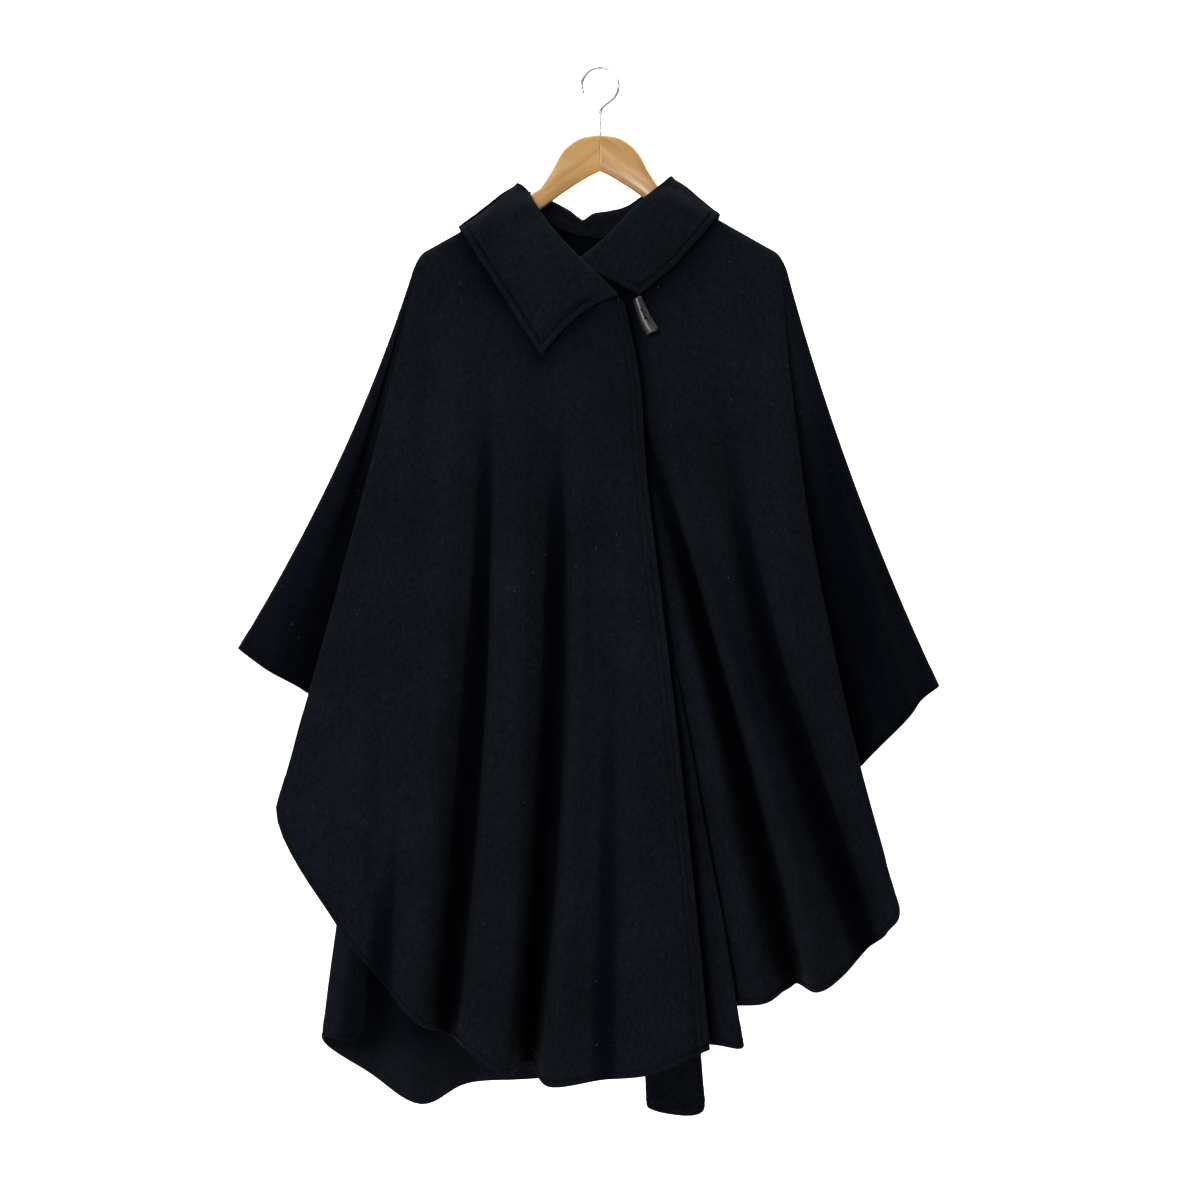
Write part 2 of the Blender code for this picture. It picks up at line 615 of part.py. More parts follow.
def make_arm(name, hand, finish):
    """One arm of the hanger, from its mitre at the middle to its rounded tip."""
    rings = []
    for station in ARM_STATIONS:
        out = max(station.out, SEAM_HALF_GAP)
        beyond = max(0.0, (out - TAPER_START) / TAPER_LENGTH)
        taper = math.sqrt(1 - beyond**2)
        half = WOOD_THICK / 2 * taper
        forward = -TIP_FORWARD * (out / SLEEVE_HEAD_X) ** 2
        outline = arm_outline(station.top, station.bottom, half)
        rings.append([(hand * out, forward + y, z) for y, z in outline])
    count = len(rings[0])
    points = [point for ring in rings for point in ring]
    faces = []
    for ring in range(len(rings) - 1):
        for step in range(count):
            after = (step + 1) % count
            quad = [ring * count + step, ring * count + after,
                    (ring + 1) * count + after, (ring + 1) * count + step]
            faces.append(quad if hand > 0 else quad[::-1])
    first = list(range(count))
    last = [(len(rings) - 1) * count + step for step in range(count)]
    faces.append(first[::-1] if hand > 0 else first)
    faces.append(last if hand > 0 else last[::-1])
    return add_object(name, points, faces, finish, ARM_SMOOTH_ANGLE)


def bore(name, radius, length, centre, turn):
    """A cylinder that cuts a hole, left out of the part."""
    bpy.ops.mesh.primitive_cylinder_add(vertices=BORE_SIDES, radius=radius * MM, depth=length * MM)
    cutter = bpy.context.object
    cutter.name = name
    cutter.location = [value * MM for value in centre]
    cutter.rotation_euler = turn
    cutter.hide_render = True
    cutter.display_type = "WIRE"
    return cutter


def cut(item, cutter):
    modifier = item.modifiers.new("hole", "BOOLEAN")
    modifier.operation = "DIFFERENCE"
    modifier.object = cutter
    modifier.solver = "EXACT"


def hook_path():
    """The ring from its tip over the top, then an S-shaped neck down into the wood."""
    centre_z = SHANK_RADIUS - HOOK_RING
    angles = np.linspace(HOOK_TIP_ANGLE, HOOK_END_ANGLE, HOOK_RING_STEPS)
    ring = np.stack([HOOK_RING * np.cos(angles), 0 * angles, centre_z + HOOK_RING * np.sin(angles)], axis=1)
    end = ring[-1]
    heading = np.array([math.sin(HOOK_END_ANGLE), 0.0, -math.cos(HOOK_END_ANGLE)])
    foot = np.array([0.0, 0.0, HOOK_NECK_Z])
    share = np.linspace(0, 1, HOOK_NECK_STEPS)[1:, None]
    one = end + heading * HOOK_NECK_REACH
    two = foot + np.array([0.0, 0.0, HOOK_NECK_REACH])
    neck = (
        end * (1 - share) ** 3 + 3 * one * share * (1 - share) ** 2
        + 3 * two * share**2 * (1 - share) + foot * share**3
    )
    shank_end = ARM_STATIONS[0].top - SHANK_DEPTH + TOUCH_GAP
    shank = np.array([[0.0, 0.0, HOOK_SHANK_Z], [0.0, 0.0, shank_end]])
    return np.concatenate([ring, neck, shank])


def make_hook(finish):
    path = hook_path()
    curve = bpy.data.curves.new("hanger_hook", "CURVE")
    curve.dimensions = "3D"
    curve.bevel_depth = SHANK_RADIUS * MM
    curve.bevel_resolution = 2
    curve.use_fill_caps = True
    spline = curve.splines.new("POLY")
    spline.points.add(len(path) - 1)
    for point, place in zip(spline.points, path):
        point.co = (*(place * MM), 1.0)
    curve.materials.append(finish)
    item = bpy.data.objects.new("hanger_hook", curve)
    bpy.context.scene.collection.objects.link(item)
    return item


def make_toggle(finish):
    """A curved horn with flat ends, and two sewing holes through its thickness."""
    top = np.array([TOGGLE_TOP_X, TOGGLE_Y, TOGGLE_TOP_Z])
    bottom = np.array([TOGGLE_BOTTOM_X, TOGGLE_Y, TOGGLE_BOTTOM_Z])
    along = (bottom - top) / np.linalg.norm(bottom - top)
    sideways = np.array([-along[2], 0.0, along[0]])
    angles = np.linspace(0, 2 * math.pi, TOGGLE_SIDES, endpoint=False)
    rings = []
    for ring in TOGGLE_RINGS:
        centre = top + along * ring.along + sideways * ring.bend
        across = sideways * ring.wide / 2
        through = np.array([0.0, ring.thick / 2, 0.0])
        rings.append([centre + across * math.cos(a) + through * math.sin(a) for a in angles])
    points = [point for ring in rings for point in ring]
    faces = []
    for ring in range(len(rings) - 1):
        for step in range(TOGGLE_SIDES):
            after = (step + 1) % TOGGLE_SIDES
            faces.append([ring * TOGGLE_SIDES + step, (ring + 1) * TOGGLE_SIDES + step,
                          (ring + 1) * TOGGLE_SIDES + after, ring * TOGGLE_SIDES + after])
    faces.append(list(range(TOGGLE_SIDES)))
    faces.append([(len(rings) - 1) * TOGGLE_SIDES + step for step in range(TOGGLE_SIDES)][::-1])
    toggle = add_object("toggle", points, faces, finish, TOGGLE_SMOOTH_ANGLE)
    for number, distance in enumerate(TOGGLE_HOLES):
        centre = top + along * distance
        cutter = bore(f"toggle_hole_{number}", TOGGLE_HOLE_RADIUS, TOGGLE_BORE, centre, (math.pi / 2, 0, 0))
        cut(toggle, cutter)
    return toggle


def build():
    clear_scene()
    wool = material("black wool", (0.012, 0.012, 0.013), 0.95)
    wood = material("light wood", (0.62, 0.42, 0.24), 0.45)
    horn = material("grey horn", (0.09, 0.085, 0.08), 0.35)
    steel = material("polished steel", (0.6, 0.6, 0.6), 0.2, 1.0)
    grids = {
        "back": make_panel("back", BACK_FOLDS, NECK_BACK, 1, no_lap, True, True, wool),
        "front_right": make_panel(
            "front_right", FRONT_RIGHT_FOLDS, NECK_RIGHT, -1, right_lap, True, False, wool
        ),
        "front_left": make_panel(
            "front_left", FRONT_LEFT_FOLDS, NECK_LEFT, -1, left_lap_back, False, True, wool
        ),
    }
    make_collar(grids, wool)
    shank_hole = bore("shank_hole", SHANK_BORE, 2 * SHANK_DEPTH, (0, 0, ARM_STATIONS[0].top), (0, 0, 0))
    for name, hand in (("hanger_right", -1), ("hanger_left", 1)):
        cut(make_arm(name, hand, wood), shank_hole)
    make_hook(steel)
    make_toggle(horn)


build()
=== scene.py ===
"""The wool cloak's looks: fine cloth, stitching, horn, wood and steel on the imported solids."""

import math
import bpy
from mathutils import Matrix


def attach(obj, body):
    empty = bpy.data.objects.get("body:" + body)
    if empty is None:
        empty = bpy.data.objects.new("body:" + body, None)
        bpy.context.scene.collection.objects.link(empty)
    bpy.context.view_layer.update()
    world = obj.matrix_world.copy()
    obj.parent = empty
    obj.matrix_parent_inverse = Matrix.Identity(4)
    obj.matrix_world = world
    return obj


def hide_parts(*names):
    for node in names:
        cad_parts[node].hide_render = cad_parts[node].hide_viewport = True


bl_info = {
    "name": "Hung wool cloak",
    "version": (1, 0, 0),
    "blender": (4, 5, 0),
    "location": "3D Viewport > Sidebar > Cloak",
    "description": "Builds a wool cloak on a wooden hanger, piece by piece",
    "category": "Object",
}

from collections import namedtuple

import bpy
import numpy as np

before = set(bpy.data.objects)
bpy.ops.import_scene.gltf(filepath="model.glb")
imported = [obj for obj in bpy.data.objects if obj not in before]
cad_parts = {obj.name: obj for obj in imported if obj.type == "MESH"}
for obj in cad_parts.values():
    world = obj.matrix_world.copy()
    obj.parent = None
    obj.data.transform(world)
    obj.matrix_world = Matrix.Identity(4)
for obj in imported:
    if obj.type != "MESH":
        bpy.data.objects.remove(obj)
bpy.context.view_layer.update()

MM = 0.001

# The cut and hang, in millimetres: the same values as the solids have
PANEL_HALF_WALL = 1.0
COLLAR_HALF_WALL = 1.5
SEAM_HALF_GAP = 0.15
TOUCH_GAP = 0.3
WOOD_THICK = 11.0
ARM_SLOPE = 0.60
ARM_START_X = 85.0
ARM_START_Z = -146.3
TIP_FORWARD = 20.0
TAPER_START = 172.0
TAPER_LENGTH = 34.0
RIDGE_LIFT = TOUCH_GAP + PANEL_HALF_WALL
TURN_RADIUS = 8.0
NECK_TURN_RADIUS = 11.5
NECK_TURN_END = 112.0
NECK_TURN_RAMP = 26.0
SPREAD = 0.09
NECK_SOFTEN = 30.0
FOLD_GROWTH = 1.15
SLEEVE_HEAD_X = 212.0
TIP_DIP = 13.0
CUFF_FORWARD = 4.0
LAP_FORWARD = 8.0
LAP_RAMP = 70.0
LAP_BACK = 5.0
LAP_BACK_START = 8.0
LAP_BACK_RAMP = 45.0
BULGE_START = 35.0
RIGHT_NECK_X = -85.0
LEFT_NECK_X = 78.0


def rows_of(kind, rows):
    """A table's rows with its column names."""
    return [kind(*row) for row in rows]


SleeveEdge = namedtuple("SleeveEdge", "foot_x foot_z sag")
RIGHT_SLEEVE = SleeveEdge(-414, -665, 16)
LEFT_SLEEVE = SleeveEdge(388, -708, 12)

Bulge = namedtuple("Bulge", "out height wide tall")
FRONT_BULGE = Bulge(22.0, -250.0, 75.0, 130.0)
BACK_BULGE = Bulge(24.0, -185.0, 70.0, 110.0)

SeamPoint = namedtuple("SeamPoint", "x z")
NECK_RIGHT = rows_of(SeamPoint, [
    (-85, -145), (-83, -156), (-74, -169), (-60, -191),
    (-40, -214), (-18, -236), (0, -252), (24, -277),
])
NECK_LEFT = rows_of(SeamPoint, [
    (-34, -241), (-12, -228), (8, -209), (27, -189),
    (50, -168), (66, -159), (76, -152), (78, -141),
])
NECK_BACK = rows_of(SeamPoint, [
    (-85, -145), (-83, -156), (-62, -170), (-30, -181),
    (0, -185), (38, -177), (62, -164), (76, -152), (78, -141),
])

# Fold lines: where each leaves the shoulder, meets the hem, how far out it stands there, how its
# middle bows, and the share of its length above which the cloth is still plain
Fold = namedtuple("Fold", "name head_x foot_x foot_z out bow opens")
FRONT_RIGHT_FOLDS = rows_of(Fold, [
    ("shoulder seam", -212, RIGHT_SLEEVE.foot_x, RIGHT_SLEEVE.foot_z, 0, RIGHT_SLEEVE.sag, 0.0),
    ("sleeve crest", -209, -374, -690, 14, 11, 0.1),
    ("valley side", -206, -338, -714, -24, -1, 0.0),
    ("sleeve valley", -203, -291, -753, -34, 0, 0.0),
    ("front layer edge", -199, -359, -841, 34, 4, 0.0),
    ("outer crest", -188, -288, -968, 30, 3, 0.1),
    ("faint valley", -174, -236, -1032, 12, 3, 0.3),
    ("second crest", -150, -196, -1070, 22, 3, 0.15),
    ("first valley", -126, -171, -1091, -34, 7, 0.2),
    ("third crest", -108, -145, -1098, 20, 5, 0.15),
    ("deep valley side", -85, -104, -1127, 16, 10, 0.15),
    ("deep valley", -52, -80, -1128, -56, 10, 0.16),
    ("middle crest", -38, -56, -1137, 22, 8, 0.15),
    ("soft dip", -10, 0, -1132, 6, 6, 0.3),
    ("edge crest", 6, 55, -1124, 16, 6, 0.2),
    ("front edge", 24, 119, -1101, 2, 6, 0.2),
])
FRONT_LEFT_FOLDS = rows_of(Fold, [
    ("hidden front edge", -34, 76, -1098, -22, 6, 0.0),
    ("inner strip", -29, 128, -1101, -8, 22, 0.1),
    ("inner strip edge", -26, 157, -1098, 6, 12, 0.2),
    ("hidden turn", -23, 139, -1064, -18, 14, 0.2),
    ("lit strip", -19, 182, -1052, 2, 16, 0.1),
    ("dark valley", -16, 219, -1042, -58, 16, 0.06),
    ("diagonal edge", -12, 237, -1036, 30, 18, 0.05),
    ("broad crest", 40, 266, -1022, 24, 0, 0.15),
    ("middle valley", 78, 300, -1002, -16, -16, 0.2),
    ("outer crest", 132, 318, -978, 24, -22, 0.15),
    ("front layer edge", 199, 328, -942, 34, -22, 0.0),
    ("sleeve valley", 203, 268, -838, -34, -8, 0.0),
    ("valley side", 206, 300, -796, -24, 2, 0.0),
    ("sleeve band", 208, 345, -746, 14, -7, 0.1),
    ("sleeve dip", 210, 364, -724, 5, -10, 0.2),
    ("shoulder seam", 212, LEFT_SLEEVE.foot_x, LEFT_SLEEVE.foot_z, 0, -LEFT_SLEEVE.sag, 0.0),
])
BACK_FOLDS = rows_of(Fold, [
    ("right shoulder seam", -212, RIGHT_SLEEVE.foot_x, RIGHT_SLEEVE.foot_z, 0, RIGHT_SLEEVE.sag, 0.0),
    ("right sleeve crest", -209, -376, -684, 14, 11, 0.1),
    ("right sleeve end", -206, -322, -712, -14, 3, 0.0),
    ("right inner turn", -204, -270, -1080, -50, 0, 0.0),
    ("right outer edge", -199, -328, -1126, 6, 0, 0.0),
    ("right back crest", -178, -276, -1176, 30, 4, 0.1),
    ("right lit fold", -154, -210, -1200, -34, 4, 0.15),
    ("right valley crest", -124, -160, -1193, 26, 4, 0.15),
    ("inner fold", -85, -76, -1181, -16, 0, 0.2),
    ("middle crest", -50, 8, -1182, 20, 0, 0.2),
    ("behind the tab", -20, 76, -1188, 24, 0, 0.25),
    ("tab left edge", -4, 57, -1214, -28, 2, 0.25),
    ("tab right edge", 24, 122, -1216, -24, 4, 0.25),
    ("left hidden turn", 44, 108, -1150, 20, 4, 0.25),
    ("left back crest", 78, 166, -1092, 28, 4, 0.15),
    ("left soft valley", 112, 212, -1072, -12, 2, 0.2),
    ("left outer crest", 158, 258, -1046, 28, -4, 0.1),
    ("left outer edge", 199, 288, -1018, 4, -10, 0.0),
    ("left inner turn", 204, 242, -958, -44, -10, 0.0),
    ("left sleeve end", 207, 292, -800, -14, 0, 0.0),
    ("left sleeve crest", 209, 346, -742, 14, -9, 0.1),
    ("left shoulder seam", 212, LEFT_SLEEVE.foot_x, LEFT_SLEEVE.foot_z, 0, -LEFT_SLEEVE.sag, 0.0),
])

# Creases laid on the folds: each runs from its top through its middle to its foot, wide
# millimetres to either side, and stands out (or in, where out is less than 0)
Crease = namedtuple("Crease", "name top_x top_z mid_x foot_x foot_z wide out")
FRONT_RIGHT_CREASES = rows_of(Crease, [
    ("shoulder drag", -196, -232, -206, -222, -470, 9, 1.6),
    ("shoulder dip", -184, -226, -192, -206, -420, 12, -1.5),
    ("chest swell", -158, -230, -170, -190, -700, 18, 3.0),
    ("faint line", -243, -640, -249, -252, -960, 7, -2.6),
    ("faint line crest", -230, -610, -236, -240, -960, 9, 1.4),
    ("first valley edge", -114, -400, -119, -146, -1080, 8, 4.0),
    ("first valley floor", -129, -350, -134, -168, -1090, 11, -8.0),
    ("first valley left", -148, -400, -154, -192, -1070, 10, 3.0),
    ("deep valley floor", -46, -400, -47, -80, -1128, 11, -10.0),
    ("deep valley left", -68, -430, -71, -104, -1126, 9, 4.0),
    ("deep valley right", -24, -420, -23, -55, -1130, 8, 4.5),
    ("middle soft fold", -92, -420, -94, -118, -980, 13, 2.6),
    ("front soft dip", 2, -420, 14, 26, -1000, 16, -0.8),
    ("front swell", 28, -460, 42, 60, -1090, 13, 2.4),
    ("sleeve soft dip", -300, -470, -333, -362, -665, 12, -1.4),
    ("sleeve soft crest", -262, -380, -297, -330, -640, 9, 1.2),
    ("elbow drag", -226, -520, -243, -268, -780, 12, 1.5),
    ("low swell", -300, -740, -306, -306, -935, 14, 2.6),
])
FRONT_LEFT_CREASES = rows_of(Crease, [
    ("diagonal edge", 46, -360, 142, 234, -1010, 7, 3.0),
    ("dark gap", 50, -372, 124, 204, -965, 13, -6.0),
    ("diagonal lee", 76, -400, 164, 252, -1000, 12, -1.6),
    ("inner strip", 62, -480, 96, 138, -1080, 6, 1.6),
    ("second valley", 152, -500, 200, 290, -960, 16, -8.0),
    ("second valley crest", 168, -440, 218, 308, -900, 12, 3.6),
    ("chest swell", 92, -260, 108, 138, -560, 24, 2.0),
    ("shoulder drag", 186, -226, 196, 214, -480, 10, 1.6),
    ("shoulder dip", 170, -224, 182, 198, -420, 13, -1.5),
    ("broad soft dip", 100, -420, 150, 230, -900, 13, -2.4),
    ("sleeve band", 276, -480, 310, 338, -735, 11, 3.0),
    ("sleeve dip", 244, -400, 282, 318, -720, 15, -5.0),
    ("side swell", 236, -520, 262, 300, -900, 12, 1.6),
    ("lap pull", 30, -300, 62, 104, -470, 12, -1.4),
])
BACK_CREASES = rows_of(Crease, [
    ("middle drag", -10, -330, 0, 22, -900, 16, 2.2),
    ("middle dip", -40, -300, -46, -50, -860, 15, -2.0),
    ("right swell", -118, -240, -134, -168, -820, 18, 2.2),
    ("right dip", -146, -300, -166, -206, -960, 11, -2.6),
    ("left swell", 112, -240, 136, 172, -780, 18, 2.2),
    ("left dip", 144, -300, 178, 222, -900, 11, -2.6),
    ("right shoulder drag", -188, -228, -200, -220, -520, 10, 1.6),
    ("left shoulder drag", 186, -228, 200, 222, -520, 10, 1.6),
    ("right low crest", -240, -700, -258, -268, -1150, 12, 2.4),
    ("left low crest", 206, -640, 228, 252, -1030, 12, 2.4),
    ("right inner crest", -92, -520, -100, -118, -1160, 12, 1.9),
    ("tab crest", 52, -700, 74, 90, -1190, 10, 1.6),
    ("right sleeve dip", -286, -440, -322, -352, -670, 11, -1.5),
    ("left sleeve dip", 262, -440, 300, 338, -700, 11, -1.5),
])

# The collar, a row for each section round the neck: the solid's own rows, apart from those beside
# the shoulders and at the two points, which lie nearer to the photo here
Section = namedtuple("Section", "panel seam_x roll_x roll_y roll_z edge_x edge_z arch")
COLLAR_SECTIONS = rows_of(Section, [
    ("right", 23, 17, None, -266, -66, -332, 10),
    ("right", 0, -9, None, -240, -88, -299, 3),
    ("right", -22, -29, None, -219, -107, -268, 0),
    ("right", -44, -50, None, -195, -124, -242, 0),
    ("right", -64, -68, None, -170, -140, -217, 0),
    ("right", -81, -85.5, -11.5, -141, -152.5, -196.5, 0),
    ("right", -84.2, -93, -5, -133.5, -157.5, -186.5, 0),
    ("ridge", -85, -95, 0, -132, -158, -184, 0),
    ("back", -84.6, -93, 5, -133, -157.5, -187.5, 0),
    ("back", -81, -86, 14, -137, -150, -204, 0),
    ("back", -60, -59, None, -147, -112, -243, 0),
    ("back", -32, -34, None, -157, -62, -258, 0),
    ("back", -19, -20, None, -167, -30, -262, 0),
    ("back", -5, -6, None, -159, 0, -262, 0),
    ("back", 28, 30, None, -153, 48, -250, 0),
    ("back", 54, 53, None, -140, 92, -232, 0),
    ("back", 74, 76, 12, -129.5, 127, -192, 0),
    ("back", 77.7, 81.5, 5, -125, 133.5, -173, 0),
    ("ridge", 78, 82, 0, -124, 134, -169, 0),
    ("left", 77.7, 81, -5, -125.5, 133.5, -171, 0),
    ("left", 74, 76, -11, -131, 129.5, -177, 0),
    ("left", 56, 52, None, -151, 117, -192, 0),
    ("left", 33, 30, None, -174, 101, -210, 0),
    ("left", 11, 9, None, -198, 84, -230, 0),
    ("left", -11, -13, None, -217, 66, -246, 2),
    ("left", -31, -31, None, -230, 44, -265.5, 4),
])
FALL_SHARES = (0.2, 0.45, 0.72, 1.0)
ROLL_RADIUS = 3.6
STAND_INSET = PANEL_HALF_WALL + TOUCH_GAP + COLLAR_HALF_WALL + 0.6
FALL_LIFT = PANEL_HALF_WALL + TOUCH_GAP + COLLAR_HALF_WALL + 1.6
STAND_OVERLAP = 2.0
NEAR_ARM_DEPTH = 10.0
ARM_CLEARANCE = 1.2

# Distances from an edge at which the cloth is sampled, close together where it turns or is stitched
EDGE_STEPS = np.array([
    0, 0.6, 1.6, 3, 4.2, 5, 5.6, 6.2, 6.8, 7.4, 8.2, 9.4, 11, 12.4, 13.2, 13.8, 14.4, 15.2, 16.6, 19, 22,
])
HEM_STEPS = np.array([0, 0.6, 1.6, 3, 4.4, 5.2, 6, 6.8, 7.6, 9, 11, 14, 17, 19, 20, 21, 22, 24, 28])
HEAD_STEPS = np.array([0, 0.4, 1.2, 2.5, 4, 6, 8.5, 11.5, 15, 19, 24, 30, 38, 47])
MIDDLE_ROWS = 118
ROUGH_ROWS = 41
EDGE_SHARE = 0.66
EDGE_TRIM = 0.3
NO_EDGE = 1000.0

# Stitched lines by their distance from the edge, the turned cloth and what it adds to the half wall
HEM_STITCH = 6.0
EDGE_STITCHES = (6.2, 13.8)
COLLAR_STITCH = 7.0
STITCH_SHARE = 0.72
THREAD_RADIUS = 0.32
HEM_TURN = 22.0
HEM_THICK = 0.35
EDGE_TURN = 16.0
EDGE_THICK = 0.3
STITCH_DIP = 0.45
SEAM_STEPS = (0.004, 0.015, 0.03, 0.06, 0.1, 0.16, 0.23)
NECK_STEPS = (0.004, 0.015, 0.035, 0.06)
COLUMNS_A_FOLD = 8

# The hanger's outline out from the middle, whose lower edge is up to 4 mm below the solid's there, and
# the toggle's rings from its upper end; it lies 2.5 mm lower than its solid
Station = namedtuple("Station", "out top bottom")
ARM_STATIONS = rows_of(Station, [
    (0, -75, -117), (12, -76, -123), (23, -79, -129.5), (34, -85.5, -136.5),
    (44, -96, -143.5), (54, -115, -151), (68, -136.5, -161), (85, -146.7, -172),
    (120, -167.7, -192), (157, -189.9, -211), (190, -209.7, -228),
    (197, -216.9, -230.5), (202, -222.9, -232.5),
])
Ring = namedtuple("Ring", "along bend wide thick")
TOGGLE_RINGS = rows_of(Ring, [
    (0.0, 1.6, 9.6, 7.0), (0.6, 1.5, 10.8, 7.8), (9, 0.7, 12.2, 8.6),
    (18, 0.1, 13.6, 9.4), (27, 0.0, 14.8, 10.2), (35, 0.5, 15.9, 11.0),
    (42.2, 1.3, 16.7, 11.5), (43, 1.4, 15.7, 10.8),
])
TOGGLE_TOP = np.array([40.5, -43.75, -270.0])
TOGGLE_BOTTOM = np.array([58.5, -43.75, -309.5])
TOGGLE_HOLES = (15.0, 25.6)
TOGGLE_HOLE_RADIUS = 1.3

SHANK_RADIUS = 1.9
HOOK_RING = 21.0
HOOK_TIP_ANGLE = math.radians(205)
HOOK_END_ANGLE = math.radians(-52)
HOOK_NECK_Z = -58.0
HOOK_NECK_REACH = 14.0
HOOK_SHANK_END = -94.7


# ---- shapes -------------------------------------------------------------------------------------

def smooth_step(value):
    """Rises from 0 to 1 as three times the square less twice the cube."""
    value = np.clip(value, 0.0, 1.0)
    return value * value * (3 - 2 * value)


def bell(distance, wide):
    """A bell: e to the power of minus the square of distance over width."""
    return np.exp(-((distance / wide) ** 2))


def unit(vectors):
    """Vectors over their own length, or nothing where they have none."""
    return vectors / (np.linalg.norm(vectors, axis=-1, keepdims=True) + 1e-12)


def step_lengths(points, axis):
    """Straight distances from each point to the next one along an axis."""
    return np.linalg.norm(np.diff(points, axis=axis), axis=-1)


def ring_faces(index):
    """Quads between each ring of a grid of point numbers and the next one."""
    after = np.roll(index, -1, axis=1)
    return np.stack([index[:-1], after[:-1], after[1:], index[1:]], axis=-1).reshape(-1, 4)


def along_knots(knots, places):
    """A smooth line through evenly numbered knots: a cubic between each two, whose slope at a knot is
    half the step from the knot before it to the knot after it."""
    knots = np.asarray(knots, float)
    places = np.asarray(places, float)
    slopes = np.gradient(knots, axis=0)
    low = np.clip(np.floor(places).astype(int), 0, len(knots) - 2)
    part = (places - low).reshape(places.shape + (1,) * (knots.ndim - 1))
    rise = knots[low + 1] - knots[low]
    first = slopes[low]
    last = slopes[low + 1]
    return (
        knots[low] + first * part + (3 * rise - 2 * first - last) * part**2
        + (first + last - 2 * rise) * part**3
    )


def arm_line(out):
    """Height on top of an arm: a straight slope that dips as a square over the rounded tip."""
    dip = np.clip((out - (SLEEVE_HEAD_X - TIP_DIP)) / TIP_DIP, 0.0, None)
    return ARM_START_Z + RIDGE_LIFT - ARM_SLOPE * (out - ARM_START_X) - TIP_DIP * dip**2


def sleeve_share(x):
    """Share of the way down the sleeve's folded edge, the root of its bowed line's quadratic."""
    share = np.zeros_like(x)
    for sleeve, chosen in ((RIGHT_SLEEVE, x < 0), (LEFT_SLEEVE, x >= 0)):
        first = abs(sleeve.foot_x) - SLEEVE_HEAD_X - 4 * sleeve.sag
        beyond = np.clip(np.abs(x) - SLEEVE_HEAD_X, 0.0, None)
        root = (-first + np.sqrt(first**2 + 16 * sleeve.sag * beyond)) / (8 * sleeve.sag)
        share = np.where(chosen, root, share)
    return share


def ridge_height(x):
    """Height of the shoulder line: the arm's, then a straight fall to the cuff by the share down."""
    x = np.asarray(x, float)
    foot_z = np.where(x < 0, RIGHT_SLEEVE.foot_z, LEFT_SLEEVE.foot_z)
    tip_z = arm_line(np.array(SLEEVE_HEAD_X))
    sleeve = tip_z + (foot_z - tip_z) * sleeve_share(x)
    return np.where(np.abs(x) < SLEEVE_HEAD_X, arm_line(np.abs(x)), sleeve)


def ridge_depth(x):
    """Depth of the shoulder line: forward as the square of the way out, then evenly back."""
    x = np.asarray(x, float)
    arm = -TIP_FORWARD * (x / SLEEVE_HEAD_X) ** 2
    sleeve = -TIP_FORWARD + (TIP_FORWARD - CUFF_FORWARD) * sleeve_share(x)
    return np.where(np.abs(x) < SLEEVE_HEAD_X, arm, sleeve)


def ridge_cosine(x):
    """Cosine of the shoulder line's slope."""
    slope = ridge_height(x - 0.5) - ridge_height(x + 0.5)
    return 1.0 / np.sqrt(1.0 + slope * slope)


def turn_radius(x):
    """Radius of the turn over the arm, wider near the neck."""
    near_neck = smooth_step((NECK_TURN_END - np.abs(x)) / NECK_TURN_RAMP)
    return TURN_RADIUS + (NECK_TURN_RADIUS - TURN_RADIUS) * near_neck


def turn_angle(x, z):
    """Angle round the turn: the arc cosine of one less the drop over the radius."""
    gap = np.clip(ridge_height(x) - z, 0.0, None) * ridge_cosine(x)
    return np.arccos(np.clip(1.0 - gap / turn_radius(x), 0.0, 1.0))


def drape_depth(x, z, side):
    """The plain drape: a quarter turn over the arm, an even spread below it and a bell at the neck."""
    drop = np.clip(ridge_height(x) - z, 0.0, None)
    roof = ARM_SLOPE * (np.hypot(x, NECK_SOFTEN) - np.abs(x))
    spread = SPREAD * np.clip(drop - roof, 0.0, None)
    shape = FRONT_BULGE if side < 0 else BACK_BULGE
    bulge = shape.out * bell(x, shape.wide) * bell(z - shape.height, shape.tall)
    bulge = bulge * (1 - np.exp(-drop / BULGE_START))
    return ridge_depth(x) + side * (turn_radius(x) * np.sin(turn_angle(x, z)) + spread + bulge)


def right_lap(x, z):
    """How far the right front is carried forward over the left one."""
    return LAP_FORWARD * smooth_step((x + LAP_RAMP) / LAP_RAMP)


def left_lap_back(x, z):
    """How far the left front lies back under the right one's edge, less than 0."""
    top = NECK_RIGHT[-1]
    foot = FRONT_RIGHT_FOLDS[-1]
    edge = np.interp(-z, [-top.z, -foot.foot_z], [top.x, foot.foot_x])
    return -LAP_BACK * (1 - smooth_step((x - edge - LAP_BACK_START) / LAP_BACK_RAMP))


def no_lap(x, z):
    """The back lies over and under nothing."""
    return np.zeros_like(x)


# How far the right front's edge is eased towards the toggle, and at which share of its length
EDGE_EASE = {"front edge": 8.0, "edge crest": 3.0}
EASE_AT = 0.1


